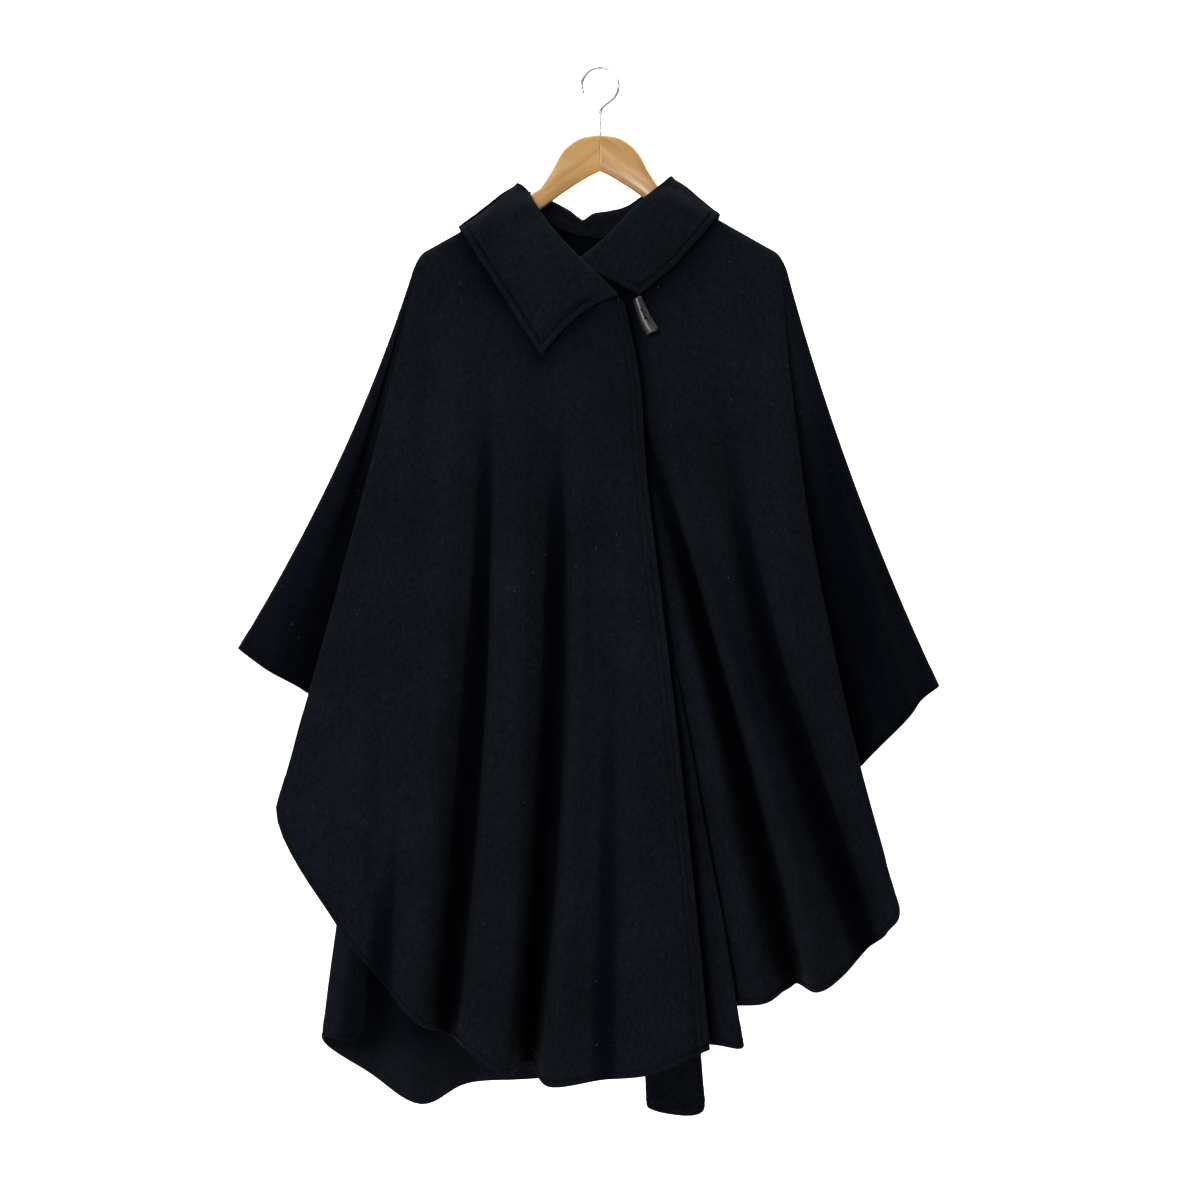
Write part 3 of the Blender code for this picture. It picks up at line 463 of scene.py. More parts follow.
def hung_cloth(panel, place, share):
    """A panel's middle surface: straight lines from head to hem, bowed as a parabola, whose depth is
    the plain drape plus each fold's own reach, which grows as a power of the way down."""
    knots = [[f.head_x, f.foot_x, f.foot_z, f.out, f.bow, f.opens, EDGE_EASE.get(f.name, 0)] for f in panel.folds]
    head_x, foot_x, foot_z, out, bow, opens, ease = np.moveaxis(along_knots(knots, place), -1, 0)
    seam_x = [p.x for p in panel.seam]
    seam_z = [p.z for p in panel.seam]
    inside = (head_x > RIGHT_NECK_X) & (head_x < LEFT_NECK_X)
    head_z = np.where(inside, np.interp(head_x, seam_x, seam_z), ridge_height(head_x))
    x = head_x + (foot_x - head_x) * share + bow * 4 * share * (1 - share)
    x = x + ease * bell(share - EASE_AT, EASE_AT)
    z = head_z + (foot_z - head_z) * share
    grown = np.clip((share - opens) / (1 - np.clip(opens, 0.0, 0.9)), 0.0, 1.0) ** FOLD_GROWTH
    y = drape_depth(x, z, panel.side) + panel.side * (out * grown + panel.lap(x, z))
    ridge = ridge_depth(x)
    y = np.where(np.abs(y - ridge) < SEAM_HALF_GAP, ridge + panel.side * SEAM_HALF_GAP, y)
    return np.stack([x, y, z], axis=-1)


Panel = namedtuple("Panel", "node folds seam side lap seam_first seam_last edge_first edge_last creases")
PANELS = {
    "back": Panel("back", BACK_FOLDS, NECK_BACK, 1, no_lap, True, True, False, False, BACK_CREASES),
    "right": Panel(
        "front_right", FRONT_RIGHT_FOLDS, NECK_RIGHT, -1, right_lap, True, False, False, True,
        FRONT_RIGHT_CREASES,
    ),
    "left": Panel(
        "front_left", FRONT_LEFT_FOLDS, NECK_LEFT, -1, left_lap_back, False, True, True, False,
        FRONT_LEFT_CREASES,
    ),
}


def column_places(panel):
    """Places across a panel: even within each fold, closer at a shoulder seam and at a neck point."""
    last = len(panel.folds) - 1
    places = list(np.arange(0, last * COLUMNS_A_FOLD + 1) / COLUMNS_A_FOLD)
    places += list(SEAM_STEPS) if panel.seam_first else []
    places += [last - step for step in SEAM_STEPS] if panel.seam_last else []
    for number, fold in enumerate(panel.folds):
        places += [number + step for step in NECK_STEPS] if fold.head_x == RIGHT_NECK_X else []
        places += [number - step for step in NECK_STEPS] if fold.head_x == LEFT_NECK_X else []
    return np.unique(np.round(places, 5))


def edge_places(panel, edge, inner, share):
    """How far across a fold the edge steps reach: each step over the fold's width in that row."""
    rims = [hung_cloth(panel, np.full(len(share), place), share) for place in (edge, inner)]
    near = EDGE_STEPS / np.linalg.norm(rims[0] - rims[1], axis=-1)[:, None]
    return np.where(near > EDGE_SHARE, EDGE_SHARE + 0.002 * EDGE_STEPS, near)


def panel_grid(panel):
    """The panel's middle surface on a grid whose rows keep their distance from the head and the hem,
    and whose last columns keep theirs from a free front edge, with each point's distance from both."""
    last = len(panel.folds) - 1
    places = column_places(panel)
    if panel.edge_last:
        places = places[places < last - 1 + EDGE_TRIM]
    if panel.edge_first:
        places = places[places > 1 - EDGE_TRIM]
    wide = (ROUGH_ROWS, len(places))
    rows = np.broadcast_to(np.linspace(0, 1, ROUGH_ROWS)[:, None], wide)
    rough = hung_cloth(panel, np.broadcast_to(places, wide), rows)
    length = step_lengths(rough, 0).sum(axis=0)
    count = len(HEAD_STEPS) + MIDDLE_ROWS + len(HEM_STEPS)
    if panel.edge_last:
        length = np.concatenate([length, np.full(len(EDGE_STEPS), length[-1])])
    if panel.edge_first:
        length = np.concatenate([np.full(len(EDGE_STEPS), length[0]), length])
    middle = np.linspace(0, 1, MIDDLE_ROWS + 2)[1:-1, None]
    head = HEAD_STEPS[:, None] / length
    hem = 1 - HEM_STEPS[::-1, None] / length
    share = np.concatenate([head, head[-1] + (hem[0] - head[-1]) * middle, hem])
    place = np.broadcast_to(places, (count, len(places)))
    if panel.edge_last:
        near = edge_places(panel, float(last), last - 1.0, share[:, -1])
        place = np.concatenate([place, last - near[:, ::-1]], axis=1)
    if panel.edge_first:
        place = np.concatenate([edge_places(panel, 0.0, 1.0, share[:, 0]), place], axis=1)
    grid = hung_cloth(panel, place, share)
    from_hem = (1 - share) * length
    from_left = np.concatenate([np.zeros((count, 1)), np.cumsum(step_lengths(grid, 1), axis=1)], axis=1)
    from_edge = from_left[:, -1:] - from_left if panel.edge_last else from_left
    if not (panel.edge_last or panel.edge_first):
        from_edge = np.full_like(from_left, NO_EDGE)
    return grid, from_hem, from_edge, from_left


def outward_normals(grid, outward):
    """Unit normals of a grid: the cross product of its steps down and across."""
    normal = unit(np.cross(np.gradient(grid, axis=0), np.gradient(grid, axis=1)))
    return normal if np.sum(normal * outward, axis=-1).mean() > 0 else -normal


def crease_lift(x, z, creases):
    """Sum of the creases: each is a bell across a parabola through its three points, times the square
    root of a half sine along it."""
    lift = np.zeros_like(x)
    for crease in creases:
        along = (crease.top_z - z) / (crease.top_z - crease.foot_z)
        chord = crease.top_x + (crease.foot_x - crease.top_x) * along
        bow = crease.mid_x - (crease.top_x + crease.foot_x) / 2
        line = chord + bow * 4 * along * (1 - along)
        inside = (along > 0) & (along < 1)
        fade = np.where(inside, np.sqrt(np.abs(np.sin(math.pi * np.clip(along, 0, 1)))), 0.0)
        lift += crease.out * fade * bell(x - line, crease.wide * (0.7 + 0.6 * np.clip(along, 0, 1)))
    return lift


def soft_unevenness(x, z, amount):
    """Slow waves in the hang: three products of sines whose lengths don't repeat together."""
    return amount * (
        np.sin(x / 23.0 + 0.9 * np.sin(z / 61.0)) * np.sin(z / 47.0 + 1.3)
        + 0.6 * np.sin(x / 13.7 + z / 89.0 + 2.0) * np.sin(z / 31.0 + x / 71.0)
        + 0.35 * np.sin(x / 7.9 + 0.5) * np.sin(z / 17.3 + x / 29.0)
    )


def stitched_lift(distance, lines, depth, along):
    """A stitched line: a narrow bell pressed in at its distance from the edge, with small puckers
    along it, and the doubled cloth swelling a little between it and the edge."""
    lift = np.zeros_like(distance)
    for line in lines:
        pucker = 1 + 0.25 * np.sin(along / 2.1)
        lift -= depth * pucker * bell(distance - line, 0.8)
    inner = max(lines)
    return lift + 0.45 * depth * bell(distance - inner * 0.5, inner * 0.32)


def step_down(distance, turned, thick):
    """The turned hem's own thickness, which ends in a soft step at its raw edge."""
    return thick * (1 - smooth_step((distance - turned + 1.2) / 2.4))


def boundary(rows, columns):
    """Point numbers round a grid's edge, in order."""
    index = np.arange(rows * columns).reshape(rows, columns)
    return np.concatenate([index[0, :-1], index[:-1, -1], index[-1, :0:-1], index[:0:-1, 0]])


def wall_from_grid(grid, normal, half_wall, round_out):
    """A closed wall: the grid moved out and in by the half wall, with a rim that bulges to a round
    edge where round_out says so."""
    rows, columns = grid.shape[:2]
    half = np.broadcast_to(half_wall, (rows, columns))[..., None]
    outer = (grid + normal * half).reshape(-1, 3)
    inner = (grid - normal * half).reshape(-1, 3)
    index = np.arange(rows * columns).reshape(rows, columns)
    quads = np.stack([index[:-1, :-1], index[1:, :-1], index[1:, 1:], index[:-1, 1:]], axis=-1).reshape(-1, 4)
    loop = boundary(rows, columns)
    beyond = np.zeros((rows, columns, 3))
    beyond[0] += grid[0] - grid[1]
    beyond[-1] += grid[-1] - grid[-2]
    beyond[:, 0] += grid[:, 0] - grid[:, 1]
    beyond[:, -1] += grid[:, -1] - grid[:, -2]
    beyond -= normal * np.sum(beyond * normal, axis=-1, keepdims=True)
    beyond = unit(beyond)
    reach = np.broadcast_to(round_out, (rows, columns))[..., None] * half
    rims = []
    for turn in (0.5, 0.0, -0.5):
        rim = grid + normal * half * math.sin(turn * math.pi / 2 * 1.2) + beyond * reach * math.cos(turn * 1.2)
        rims.append(rim.reshape(-1, 3)[loop])
    count = rows * columns
    ring = np.arange(len(loop))
    after = np.roll(ring, -1)
    bases = [loop, 2 * count + ring, 2 * count + len(loop) + ring, 2 * count + 2 * len(loop) + ring, loop + count]
    nexts = [loop[after], *(2 * count + k * len(loop) + after for k in range(3)), loop[after] + count]
    sides = [np.stack([bases[k], nexts[k], nexts[k + 1], bases[k + 1]], axis=-1) for k in range(4)]
    middle = (rows // 2, columns // 2)
    down = grid[rows // 2 + 1, columns // 2] - grid[middle]
    over = grid[rows // 2 + 1, columns // 2 + 1] - grid[middle]
    rim_faces = np.concatenate(sides)
    if np.dot(np.cross(down, over), normal[middle]) < 0:
        quads = quads[:, ::-1]
        rim_faces = rim_faces[:, ::-1]
    points = np.concatenate([outer, inner, *rims])
    return points, np.concatenate([quads, quads[:, ::-1] + count, rim_faces])


def add_piece(name, points, faces, finish, layout=None, angle=None):
    """One mesh object at the origin from points in millimetres and faces of one size."""
    mesh = bpy.data.meshes.new(name)
    points = np.asarray(points, float) * MM
    faces = np.asarray(faces, int)
    mesh.vertices.add(len(points))
    mesh.vertices.foreach_set("co", points.ravel())
    mesh.loops.add(faces.size)
    mesh.loops.foreach_set("vertex_index", faces.ravel())
    mesh.polygons.add(len(faces))
    mesh.polygons.foreach_set("loop_start", np.arange(len(faces)) * faces.shape[1])
    mesh.polygons.foreach_set("loop_total", np.full(len(faces), faces.shape[1]))
    mesh.update(calc_edges=True)
    mesh.validate()
    if layout is not None:
        chart = mesh.uv_layers.new(name="cloth")
        chart.data.foreach_set("uv", (np.asarray(layout)[faces.ravel()] * MM).ravel())
    mesh.shade_smooth()
    if angle is not None:
        mesh.set_sharp_from_angle(angle=math.radians(angle))
    mesh.materials.append(finish)
    piece = bpy.data.objects.new(name, mesh)
    bpy.context.scene.collection.objects.link(piece)
    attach(piece, "root")
    return piece


def flat_layout(from_left, from_hem, loop_index):
    """Where each point of a wall lies on the flat cloth: across it and up from its hem."""
    chart = np.stack([from_left, from_hem], axis=-1).reshape(-1, 2)
    return np.concatenate([chart, chart, *[chart[loop_index]] * 3])


def flat_cloth(grid):
    """The flat cloth's width and length in metres: its longest row and its longest column."""
    row = step_lengths(grid, 1).sum(axis=1).max()
    column = step_lengths(grid, 0).sum(axis=0).max()
    return round(float(row) * MM, 3), round(float(column) * MM, 3)


def cloth_area(grid):
    """The middle surface's area in square metres: half the cross product of each face's diagonals."""
    one = grid[1:, 1:] - grid[:-1, :-1]
    other = grid[1:, :-1] - grid[:-1, 1:]
    return round(float(np.linalg.norm(np.cross(one, other), axis=-1).sum()) / 2 * MM * MM, 4)


# ---- panels -------------------------------------------------------------------------------------

# The fronts' layer edges, beyond which the sleeves get painted shade
LAYER_EDGES = {-1: (-199.0, -220.0, -359.0, -841.0), 1: (199.0, -220.0, 328.0, -942.0)}


def shaded_share(grid, panel):
    """How much the colour is darkened by painted shade, from 0 to 1: rising to 1 by how far a point lies in
    below the mean of its row's nine neighbours to either side, more in the creases that press in, faded
    out towards the top, and part painted shade on the sleeves behind a front's edge."""
    reach = grid[..., 1] * panel.side
    padded = np.pad(reach, ((0, 0), (9, 9)), mode="edge")
    mean = sum(padded[:, k : k + reach.shape[1]] for k in range(19)) / 19
    shade = 1 - np.exp(-np.clip(mean - reach - 2.4, 0, None) / 5.0)
    creased = np.clip(-crease_lift(grid[..., 0], grid[..., 2], panel.creases) / 8.0, 0, 1)
    shade += 0.5 * creased * smooth_step((-grid[..., 2] - 340) / 420)
    shade = shade * smooth_step((-grid[..., 2] - 300) / 320)
    if panel.side < 0:
        x, z = grid[..., 0], grid[..., 2]
        for hand, (top_x, top_z, foot_x, foot_z) in LAYER_EDGES.items():
            edge = top_x + (z - top_z) / (foot_z - top_z) * (foot_x - top_x)
            shade = shade + 0.3 * smooth_step(hand * (x - edge) / 22) * (hand * x > 0)
    return np.clip(shade, 0, 1)


def dressed_panel(panel, sizes):
    """The panel's surface with its creases, unevenness, hem and stitched lines moved along its
    normals, and what the stitches need: lines of points with their normals."""
    grid, from_hem, from_edge, from_left = panel_grid(panel)
    normal = outward_normals(grid, np.array([0.0, panel.side, 0.0]))
    x, z = grid[..., 0], grid[..., 2]
    below = np.clip(ridge_height(x) - z, 0.0, None)
    free = smooth_step((below - 14) / 60)
    lift = sizes.crease_strength * crease_lift(x, z, panel.creases) + soft_unevenness(x, z, sizes.unevenness)
    lift = (lift + stitched_lift(from_hem, (HEM_STITCH,), sizes.stitch_depth, from_left)) * free
    if panel.edge_last or panel.edge_first:
        pressed = stitched_lift(from_edge, EDGE_STITCHES, sizes.stitch_depth, from_hem)
        lift += pressed * smooth_step((below - 3) / 10)
    grid = grid + normal * lift[..., None]
    normal = outward_normals(grid, np.array([0.0, panel.side, 0.0]))
    seam = np.zeros(x.shape, bool)
    seam[0] = np.abs(grid[0, :, 1] - ridge_depth(grid[0, :, 0])) < 2 * SEAM_HALF_GAP
    seam[:, 0] |= panel.seam_first
    seam[:, -1] |= panel.seam_last
    flat = unit(normal * np.array([1.0, 0.0, 1.0]))
    normal = np.where(seam[..., None], flat, normal)
    half = PANEL_HALF_WALL + step_down(from_hem, HEM_TURN, HEM_THICK) + step_down(from_edge, EDGE_TURN, EDGE_THICK)
    half = np.where(seam, PANEL_HALF_WALL, half)
    return grid, normal, half, seam, from_hem, from_edge, from_left


DRESSED = {}


def dressed(name, sizes):
    """Each panel's surface is worked out once and kept, because the collar and stitches lie on it."""
    if name not in DRESSED:
        DRESSED[name] = dressed_panel(PANELS[name], sizes)
    return DRESSED[name]


def edge_shadow(grid):
    """Share of painted shadow on the left front beside the right one's edge: e to the power of minus the
    distance across from that edge over a reach."""
    panel = PANELS["right"]
    share = np.linspace(0, 1, 80)
    edge = hung_cloth(panel, np.full(80, len(panel.folds) - 1.0), share)
    away = grid[..., 0] - np.interp(-grid[..., 2], -edge[:, 2], edge[:, 0])
    return 0.7 * np.exp(-np.clip(away, 0, None) / 8.0) * smooth_step((away + 30) / 10) * (away < 60)


def keep_shade(piece, shade):
    """The share of painted shade, kept on each point for the wool's finish to darken its colour by."""
    piece.data.attributes.new("shade", "FLOAT", "POINT").data.foreach_set("value", shade.astype(np.float32))


def make_panel(name, sizes, finish):
    """A panel as a closed wall round its dressed surface, with the share of painted shade on each point: the
    sum of what its folds, stitched lines, the front's edge and the collar add, held between 0 and 1."""
    panel = PANELS[name]
    grid, normal, half, seam, from_hem, from_edge, from_left = dressed(name, sizes)
    points, faces = wall_from_grid(grid, normal, half, np.where(seam, 0.0, 0.75))
    loop = boundary(*grid.shape[:2])
    layout = flat_layout(from_left, from_hem, loop)
    piece = add_piece(f"wool_{panel.node}", points, faces, finish, layout)
    # Painted shade in the stitched grooves along the hem and the front edges, and painted shadow beside the right
    # front's edge and the collar
    shade = shaded_share(grid, panel) + 0.35 * bell(from_hem - HEM_STITCH, 1.2)
    shade += 0.25 * sum(bell(from_edge - line, 1.2) for line in EDGE_STITCHES)
    shade += edge_shadow(grid) if name == "left" else 0
    shade = np.clip(shade + collar_shadow(grid, panel, sizes), 0, 1).ravel()
    # Painted shade on the wall's inner side, fading out towards the hem, and part of the outer side's painted shade
    # on the rim
    inside = 0.45 - 0.45 * smooth_step((-grid[..., 2] - 1100) / 60).ravel()
    shade = np.concatenate([shade, inside, *[0.6 * shade[loop]] * 3])
    keep_shade(piece, shade)
    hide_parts(panel.node)
    return piece, flat_cloth(grid), cloth_area(grid)


# ---- collar -------------------------------------------------------------------------------------

def cloth_depth(x, z, panel):
    """Depth of the cloth that the collar lies on."""
    if panel == "ridge":
        return ridge_depth(x)
    side = PANELS[panel].side
    return drape_depth(x, z, side) + side * PANELS[panel].lap(x, z)


def lifted(x, z, panel, lift):
    """A point moved out from the cloth, square to it."""
    side = 1 if panel == "back" else -1
    z = min(z, float(ridge_height(x)))
    angle = 0.0 if panel == "ridge" else float(turn_angle(x, z))
    cosine = float(ridge_cosine(x))
    up = lift * math.cos(angle)
    depth = float(cloth_depth(x, z, panel)) + side * lift * math.sin(angle)
    return np.array([x + math.copysign(up * math.sqrt(1 - cosine**2), x), depth, z + up * cosine])


def collar_section(row):
    """Points across the collar, from its seam up the stand, over the roll and down the fall."""
    side = 1 if row.panel == "back" else -1
    if row.panel == "ridge":
        seam_z = float(ridge_height(row.seam_x))
        seam_y = float(ridge_depth(row.seam_x))
    else:
        seam = PANELS[row.panel].seam
        seam_z = float(np.interp(row.seam_x, [p.x for p in seam], [p.z for p in seam]))
        seam_y = float(cloth_depth(np.array(float(row.seam_x)), seam_z, row.panel))
    if row.roll_y is None:
        roll_z = row.roll_z - ROLL_RADIUS
        depth = float(cloth_depth(np.array(float(row.roll_x)), roll_z, row.panel))
        start = np.array([row.seam_x, seam_y - side * STAND_INSET, seam_z - STAND_OVERLAP])
        inner = np.array([row.roll_x, depth - side * STAND_INSET, roll_z])
        roll = np.array([row.roll_x, depth, row.roll_z])
        outer = np.array([row.roll_x, depth + side * FALL_LIFT, roll_z])
    else:
        inward = np.array([-math.copysign(1.0, row.seam_x), 0.0, 0.0])
        up = np.array([0.0, 0.0, 1.0])
        start = np.array([row.seam_x, seam_y, seam_z]) + inward * STAND_INSET
        if abs(row.roll_y) > NEAR_ARM_DEPTH:
            start[1] -= side * STAND_INSET
        wood_top = float(arm_line(abs(start[0]))) - RIDGE_LIFT
        if abs(seam_y) < WOOD_THICK / 2 + COLLAR_HALF_WALL:
            start[2] = max(start[2], wood_top + ARM_CLEARANCE)
        roll = np.array([row.roll_x, row.roll_y, row.roll_z], float)
        inner = roll + (inward - up) * ROLL_RADIUS
        outer = roll - (inward + up) * ROLL_RADIUS
        outer[2] = max(outer[2], lifted(outer[0], outer[2], row.panel, FALL_LIFT)[2])
        roll[2] = max(roll[2], outer[2] + ROLL_RADIUS / 2)
    fall = []
    for share in FALL_SHARES:
        x = outer[0] + (row.edge_x - outer[0]) * share
        z = outer[2] + (row.edge_z - outer[2]) * share + row.arch * 4 * share * (1 - share)
        point = lifted(x, z, row.panel, FALL_LIFT)
        point[2] = max(point[2], z)
        if row.panel != "ridge" and row.roll_y is not None:
            point[1] = side * max(side * point[1], side * outer[1])
        fall.append(point)
    return [start, (start + inner) / 2, inner, roll, outer, *fall]


def moved_clear(points, name, sizes, outside, lift):
    """Points moved off a panel: each takes its nearest point of the panel and that point's normal, and
    moves along the normal until its height over it is the lift."""
    grid, normal = dressed(name, sizes)[:2]
    near = grid[:, :, 2] > -400
    cloth = grid[near]
    away = normal[near]
    side = PANELS[name].side
    flip = np.where((away[:, 1] * side + away[:, 2] > 0) == outside, 1.0, -1.0)
    away = away * flip[:, None]
    flat = points.reshape(-1, 3)
    nearest = np.concatenate([
        ((part[:, None] - cloth) ** 2).sum(axis=-1).argmin(axis=1) for part in np.array_split(flat, 16)
    ])
    gap = flat - cloth[nearest]
    distance = np.linalg.norm(gap, axis=-1)
    height = np.sum(gap * away[nearest], axis=-1)
    moves = ((height < 0) & (distance < 2 * np.abs(height) + 1)) | (distance < lift)
    return (flat + away[nearest] * np.where(moves, lift - height, 0.0)[:, None]).reshape(points.shape)


def collar_knots(sizes):
    """The collar's own coarse grid, at every half section, moved clear of the cloth it lies on."""
    knots = np.array([collar_section(row) for row in COLLAR_SECTIONS], float)
    places = np.arange(0, len(COLLAR_SECTIONS) - 0.99, 0.5)
    rounds = along_knots(knots, places)
    for name in PANELS:
        ends = [{COLLAR_SECTIONS[math.floor(p)].panel, COLLAR_SECTIONS[math.ceil(p)].panel} for p in places]
        beside = np.array([name in both or "ridge" in both for both in ends])
        rounds[beside, 4:] = moved_clear(rounds[beside, 4:], name, sizes, True, FALL_LIFT)
    return rounds


def collar_grid(sizes):
    """The collar's middle surface, whose last rows and columns keep their distance from its ends and
    its outer edge, with each point's distance from the nearest of them."""
    knots = collar_knots(sizes)
    last_row = len(knots) - 1
    last_column = knots.shape[1] - 1
    plain = np.concatenate([[0], np.arange(1.0, last_row - 0.9, 0.2), [last_row]])
    edge_width = 24.0
    steps = EDGE_STEPS[EDGE_STEPS < 12]
    near = steps / edge_width
    inner = plain[(plain > 0.55) & (plain < last_row - 0.55)]
    ends = np.concatenate([near, inner, last_row - near[::-1]])
    across = np.concatenate([np.arange(0, last_column - 0.55, 0.14), last_column - near[::-1]])
    by_row = along_knots(knots, ends)
    grid = np.moveaxis(along_knots(np.moveaxis(by_row, 1, 0), across), 0, 1)
    from_left = np.concatenate([np.zeros((len(ends), 1)), np.cumsum(step_lengths(grid, 1), axis=1)], axis=1)
    down = np.concatenate([np.zeros((1, len(across))), np.cumsum(step_lengths(grid, 0), axis=0)])
    from_outer = from_left[:, -1:] - from_left
    from_end = np.minimum(down, down[-1] - down)
    return grid, from_outer, from_end, from_left, down


def collar_shadow(grid, panel, sizes):
    """Share of painted shadow beside the collar's outer edge and ends: e to the power of minus the distance
    from the nearest of their points over a reach, on the side that the panel faces."""
    collar = collar_grid(sizes)[0]
    fall = collar[:, 40:]
    edge = np.concatenate([fall[:, -1], fall[0], fall[-1]])
    edge = edge[edge[:, 1] * panel.side > -4.0]
    near = grid[..., 2] > -440
    flat = grid[near][:, ::2]
    nearest = np.concatenate([
        np.sqrt(((part[:, None] - edge[None, :, ::2]) ** 2).sum(axis=-1)).min(axis=1)
        for part in np.array_split(flat, 24)
    ])
    share = np.zeros(grid.shape[:2])
    share[near] = 0.62 * np.exp(-nearest / 13.0)
    return share


def collar_normals(grid):
    """The collar's normals, turned so that the right point's face the front."""
    normal = outward_normals(grid, np.zeros(3))
    return -normal if normal[0, -1, 1] > 0 else normal


def make_collar(sizes, finish):
    """The collar as a closed wall round its own surface, moved along its normals by the stitched line,
    the slow waves on the fall and the swells inside its back, each a bell across."""
    grid, from_outer, from_end, from_left, down = collar_grid(sizes)
    normal = collar_normals(grid)
    on_fall = smooth_step((from_left - 40) / 10)
    distance = np.minimum(from_outer, np.where(from_left > 38, from_end, NO_EDGE))
    lift = stitched_lift(distance, (COLLAR_STITCH,), sizes.stitch_depth, down + from_left) * on_fall
    lift += soft_unevenness(grid[..., 0] * 1.3, grid[..., 2] * 1.3, sizes.unevenness * 0.8) * on_fall
    inner_back = (grid[..., 1] > 5) * smooth_step((from_left - 8) / 8) * smooth_step((34 - from_left) / 8)
    swells = bell(grid[..., 0] + 40, 13) + bell(grid[..., 0] - 14, 12) + 0.8 * bell(grid[..., 0] - 46, 9)
    lift -= 2.6 * inner_back * swells
    half = COLLAR_HALF_WALL + 0.25 * bell(distance - 3.4, 2.6) - STITCH_DIP * bell(distance - COLLAR_STITCH, 1.0)
    grid = grid + normal * np.clip(lift, -2.6, 1.2)[..., None]
    points, faces = wall_from_grid(grid, normal, half, 0.8)
    loop = boundary(*grid.shape[:2])
    piece = add_piece("wool_collar", points, faces, finish, flat_layout(down, from_left, loop))
    # Painted shade in the stitched groove on the fall, the same on the inner side, and a little painted shade on the
    # rim
    shade = (0.55 * bell(distance - COLLAR_STITCH, 1.3) * on_fall).ravel()
    shade = np.concatenate([shade, shade, np.full(3 * len(loop), 0.25)])
    keep_shade(piece, shade)
    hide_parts("collar")
    return piece, flat_cloth(grid), cloth_area(grid)


# ---- stitches -----------------------------------------------------------------------------------

def stitch_line(grid, normal, distance, want, rows_first, skip):
    """The line on a surface at a wanted distance from an edge: in each row (or column) the point
    between the two samples on either side of that distance."""
    if not rows_first:
        grid = np.moveaxis(grid, 0, 1)
        normal = np.moveaxis(normal, 0, 1)
        distance = distance.T
    number = np.arange(len(grid))
    closest = np.abs(distance - want).argmin(axis=1)
    fits = np.abs(distance[number, closest] - want) < 1.2
    line = grid[number, closest][fits]
    face = normal[number, closest][fits]
    return line[skip:], face[skip:]


def stitches_on(line, face, pitch, share, half_wall):
    """Centres, directions and normals of the stitches: the line read at even steps of its length."""
    along = np.concatenate([[0], np.cumsum(np.linalg.norm(np.diff(line, axis=0), axis=-1))])
    places = np.arange(pitch, along[-1] - pitch, pitch)
    read = np.stack([np.interp(places, along, line[:, k]) for k in range(3)], axis=-1)
    ahead = np.stack([np.interp(places + 0.5, along, line[:, k]) for k in range(3)], axis=-1)
    facing = np.stack([np.interp(places, along, face[:, k]) for k in range(3)], axis=-1)
    facing /= np.linalg.norm(facing, axis=-1, keepdims=True)
    heading = unit(ahead - read)
    return read + facing * (half_wall + 0.05), heading, facing, np.full(len(read), pitch * share / 2)


def thread_mesh(centres, headings, facings, halves, radius):
    """Stitches as spindles: five rings of six points whose radius follows a circle's arc, carried to
    each stitch's own axes."""
    turns = np.arange(6) / 6 * 2 * math.pi
    spots = np.array([-1.0, -0.7, 0.0, 0.7, 1.0])
    size = np.array([0.25, 0.85, 1.0, 0.85, 0.25])
    side = np.cross(facings, headings)
    along = spots[None, :, None, None] * halves[:, None, None, None] * headings[:, None, None, :]
    dip = -0.35 * (spots**2)[None, :, None, None] * facings[:, None, None, :]
    round_one = size[None, :, None, None] * radius * np.cos(turns)[None, None, :, None] * side[:, None, None, :]
    round_two = size[None, :, None, None] * radius * np.sin(turns)[None, None, :, None] * facings[:, None, None, :]
    points = centres[:, None, None, :] + along + dip + round_one + round_two
    quads = ring_faces(np.arange(5 * 6).reshape(5, 6))
    first = np.array([[0, 5, 4, 3], [0, 3, 2, 1]])
    last = np.array([[24, 25, 26, 27], [24, 27, 28, 29]])
    one = np.concatenate([quads, first, last])
    faces = (one[None] + (np.arange(len(centres)) * 30)[:, None, None]).reshape(-1, 4)
    return points.reshape(-1, 3), faces


def make_stitches(sizes, finish):
    """All the stitches as one piece: along each hem, each free front edge and round the collar."""
    parts = []

    def sew(line, face, skip, half_wall):
        end = len(line) - skip
        parts.append(stitches_on(line[:end], face[:end], sizes.stitch_length, STITCH_SHARE, half_wall))

    for name, panel in PANELS.items():
        grid, normal, _, _, from_hem, from_edge, _ = dressed(name, sizes)
        sew(*stitch_line(grid, normal, from_hem, HEM_STITCH, False, 2), 2, PANEL_HALF_WALL + HEM_THICK)
        for want in EDGE_STITCHES if panel.edge_first or panel.edge_last else ():
            sew(*stitch_line(grid, normal, from_edge, want, True, 6), 6, PANEL_HALF_WALL + EDGE_THICK)
    grid, from_outer, from_end = collar_grid(sizes)[:3]
    normal = collar_normals(grid)
    half_wall = COLLAR_HALF_WALL - STITCH_DIP
    sew(*stitch_line(grid, normal, from_outer, COLLAR_STITCH, True, 5), 5, half_wall)
    row = len(grid) // 2
    for end in (slice(None, row), slice(row, None)):
        line, face = stitch_line(grid[end], normal[end], from_end[end], COLLAR_STITCH, False, 0)
        keep = np.arange(len(line)) > 0.42 * len(line)
        sew(line[keep], face[keep], 4, half_wall)
    points, faces = thread_mesh(*(np.concatenate(values) for values in zip(*parts)), THREAD_RADIUS)
    piece = add_piece("stitching_thread", points, faces, finish)


# ---- toggle, hanger, hook -----------------------------------------------------------------------

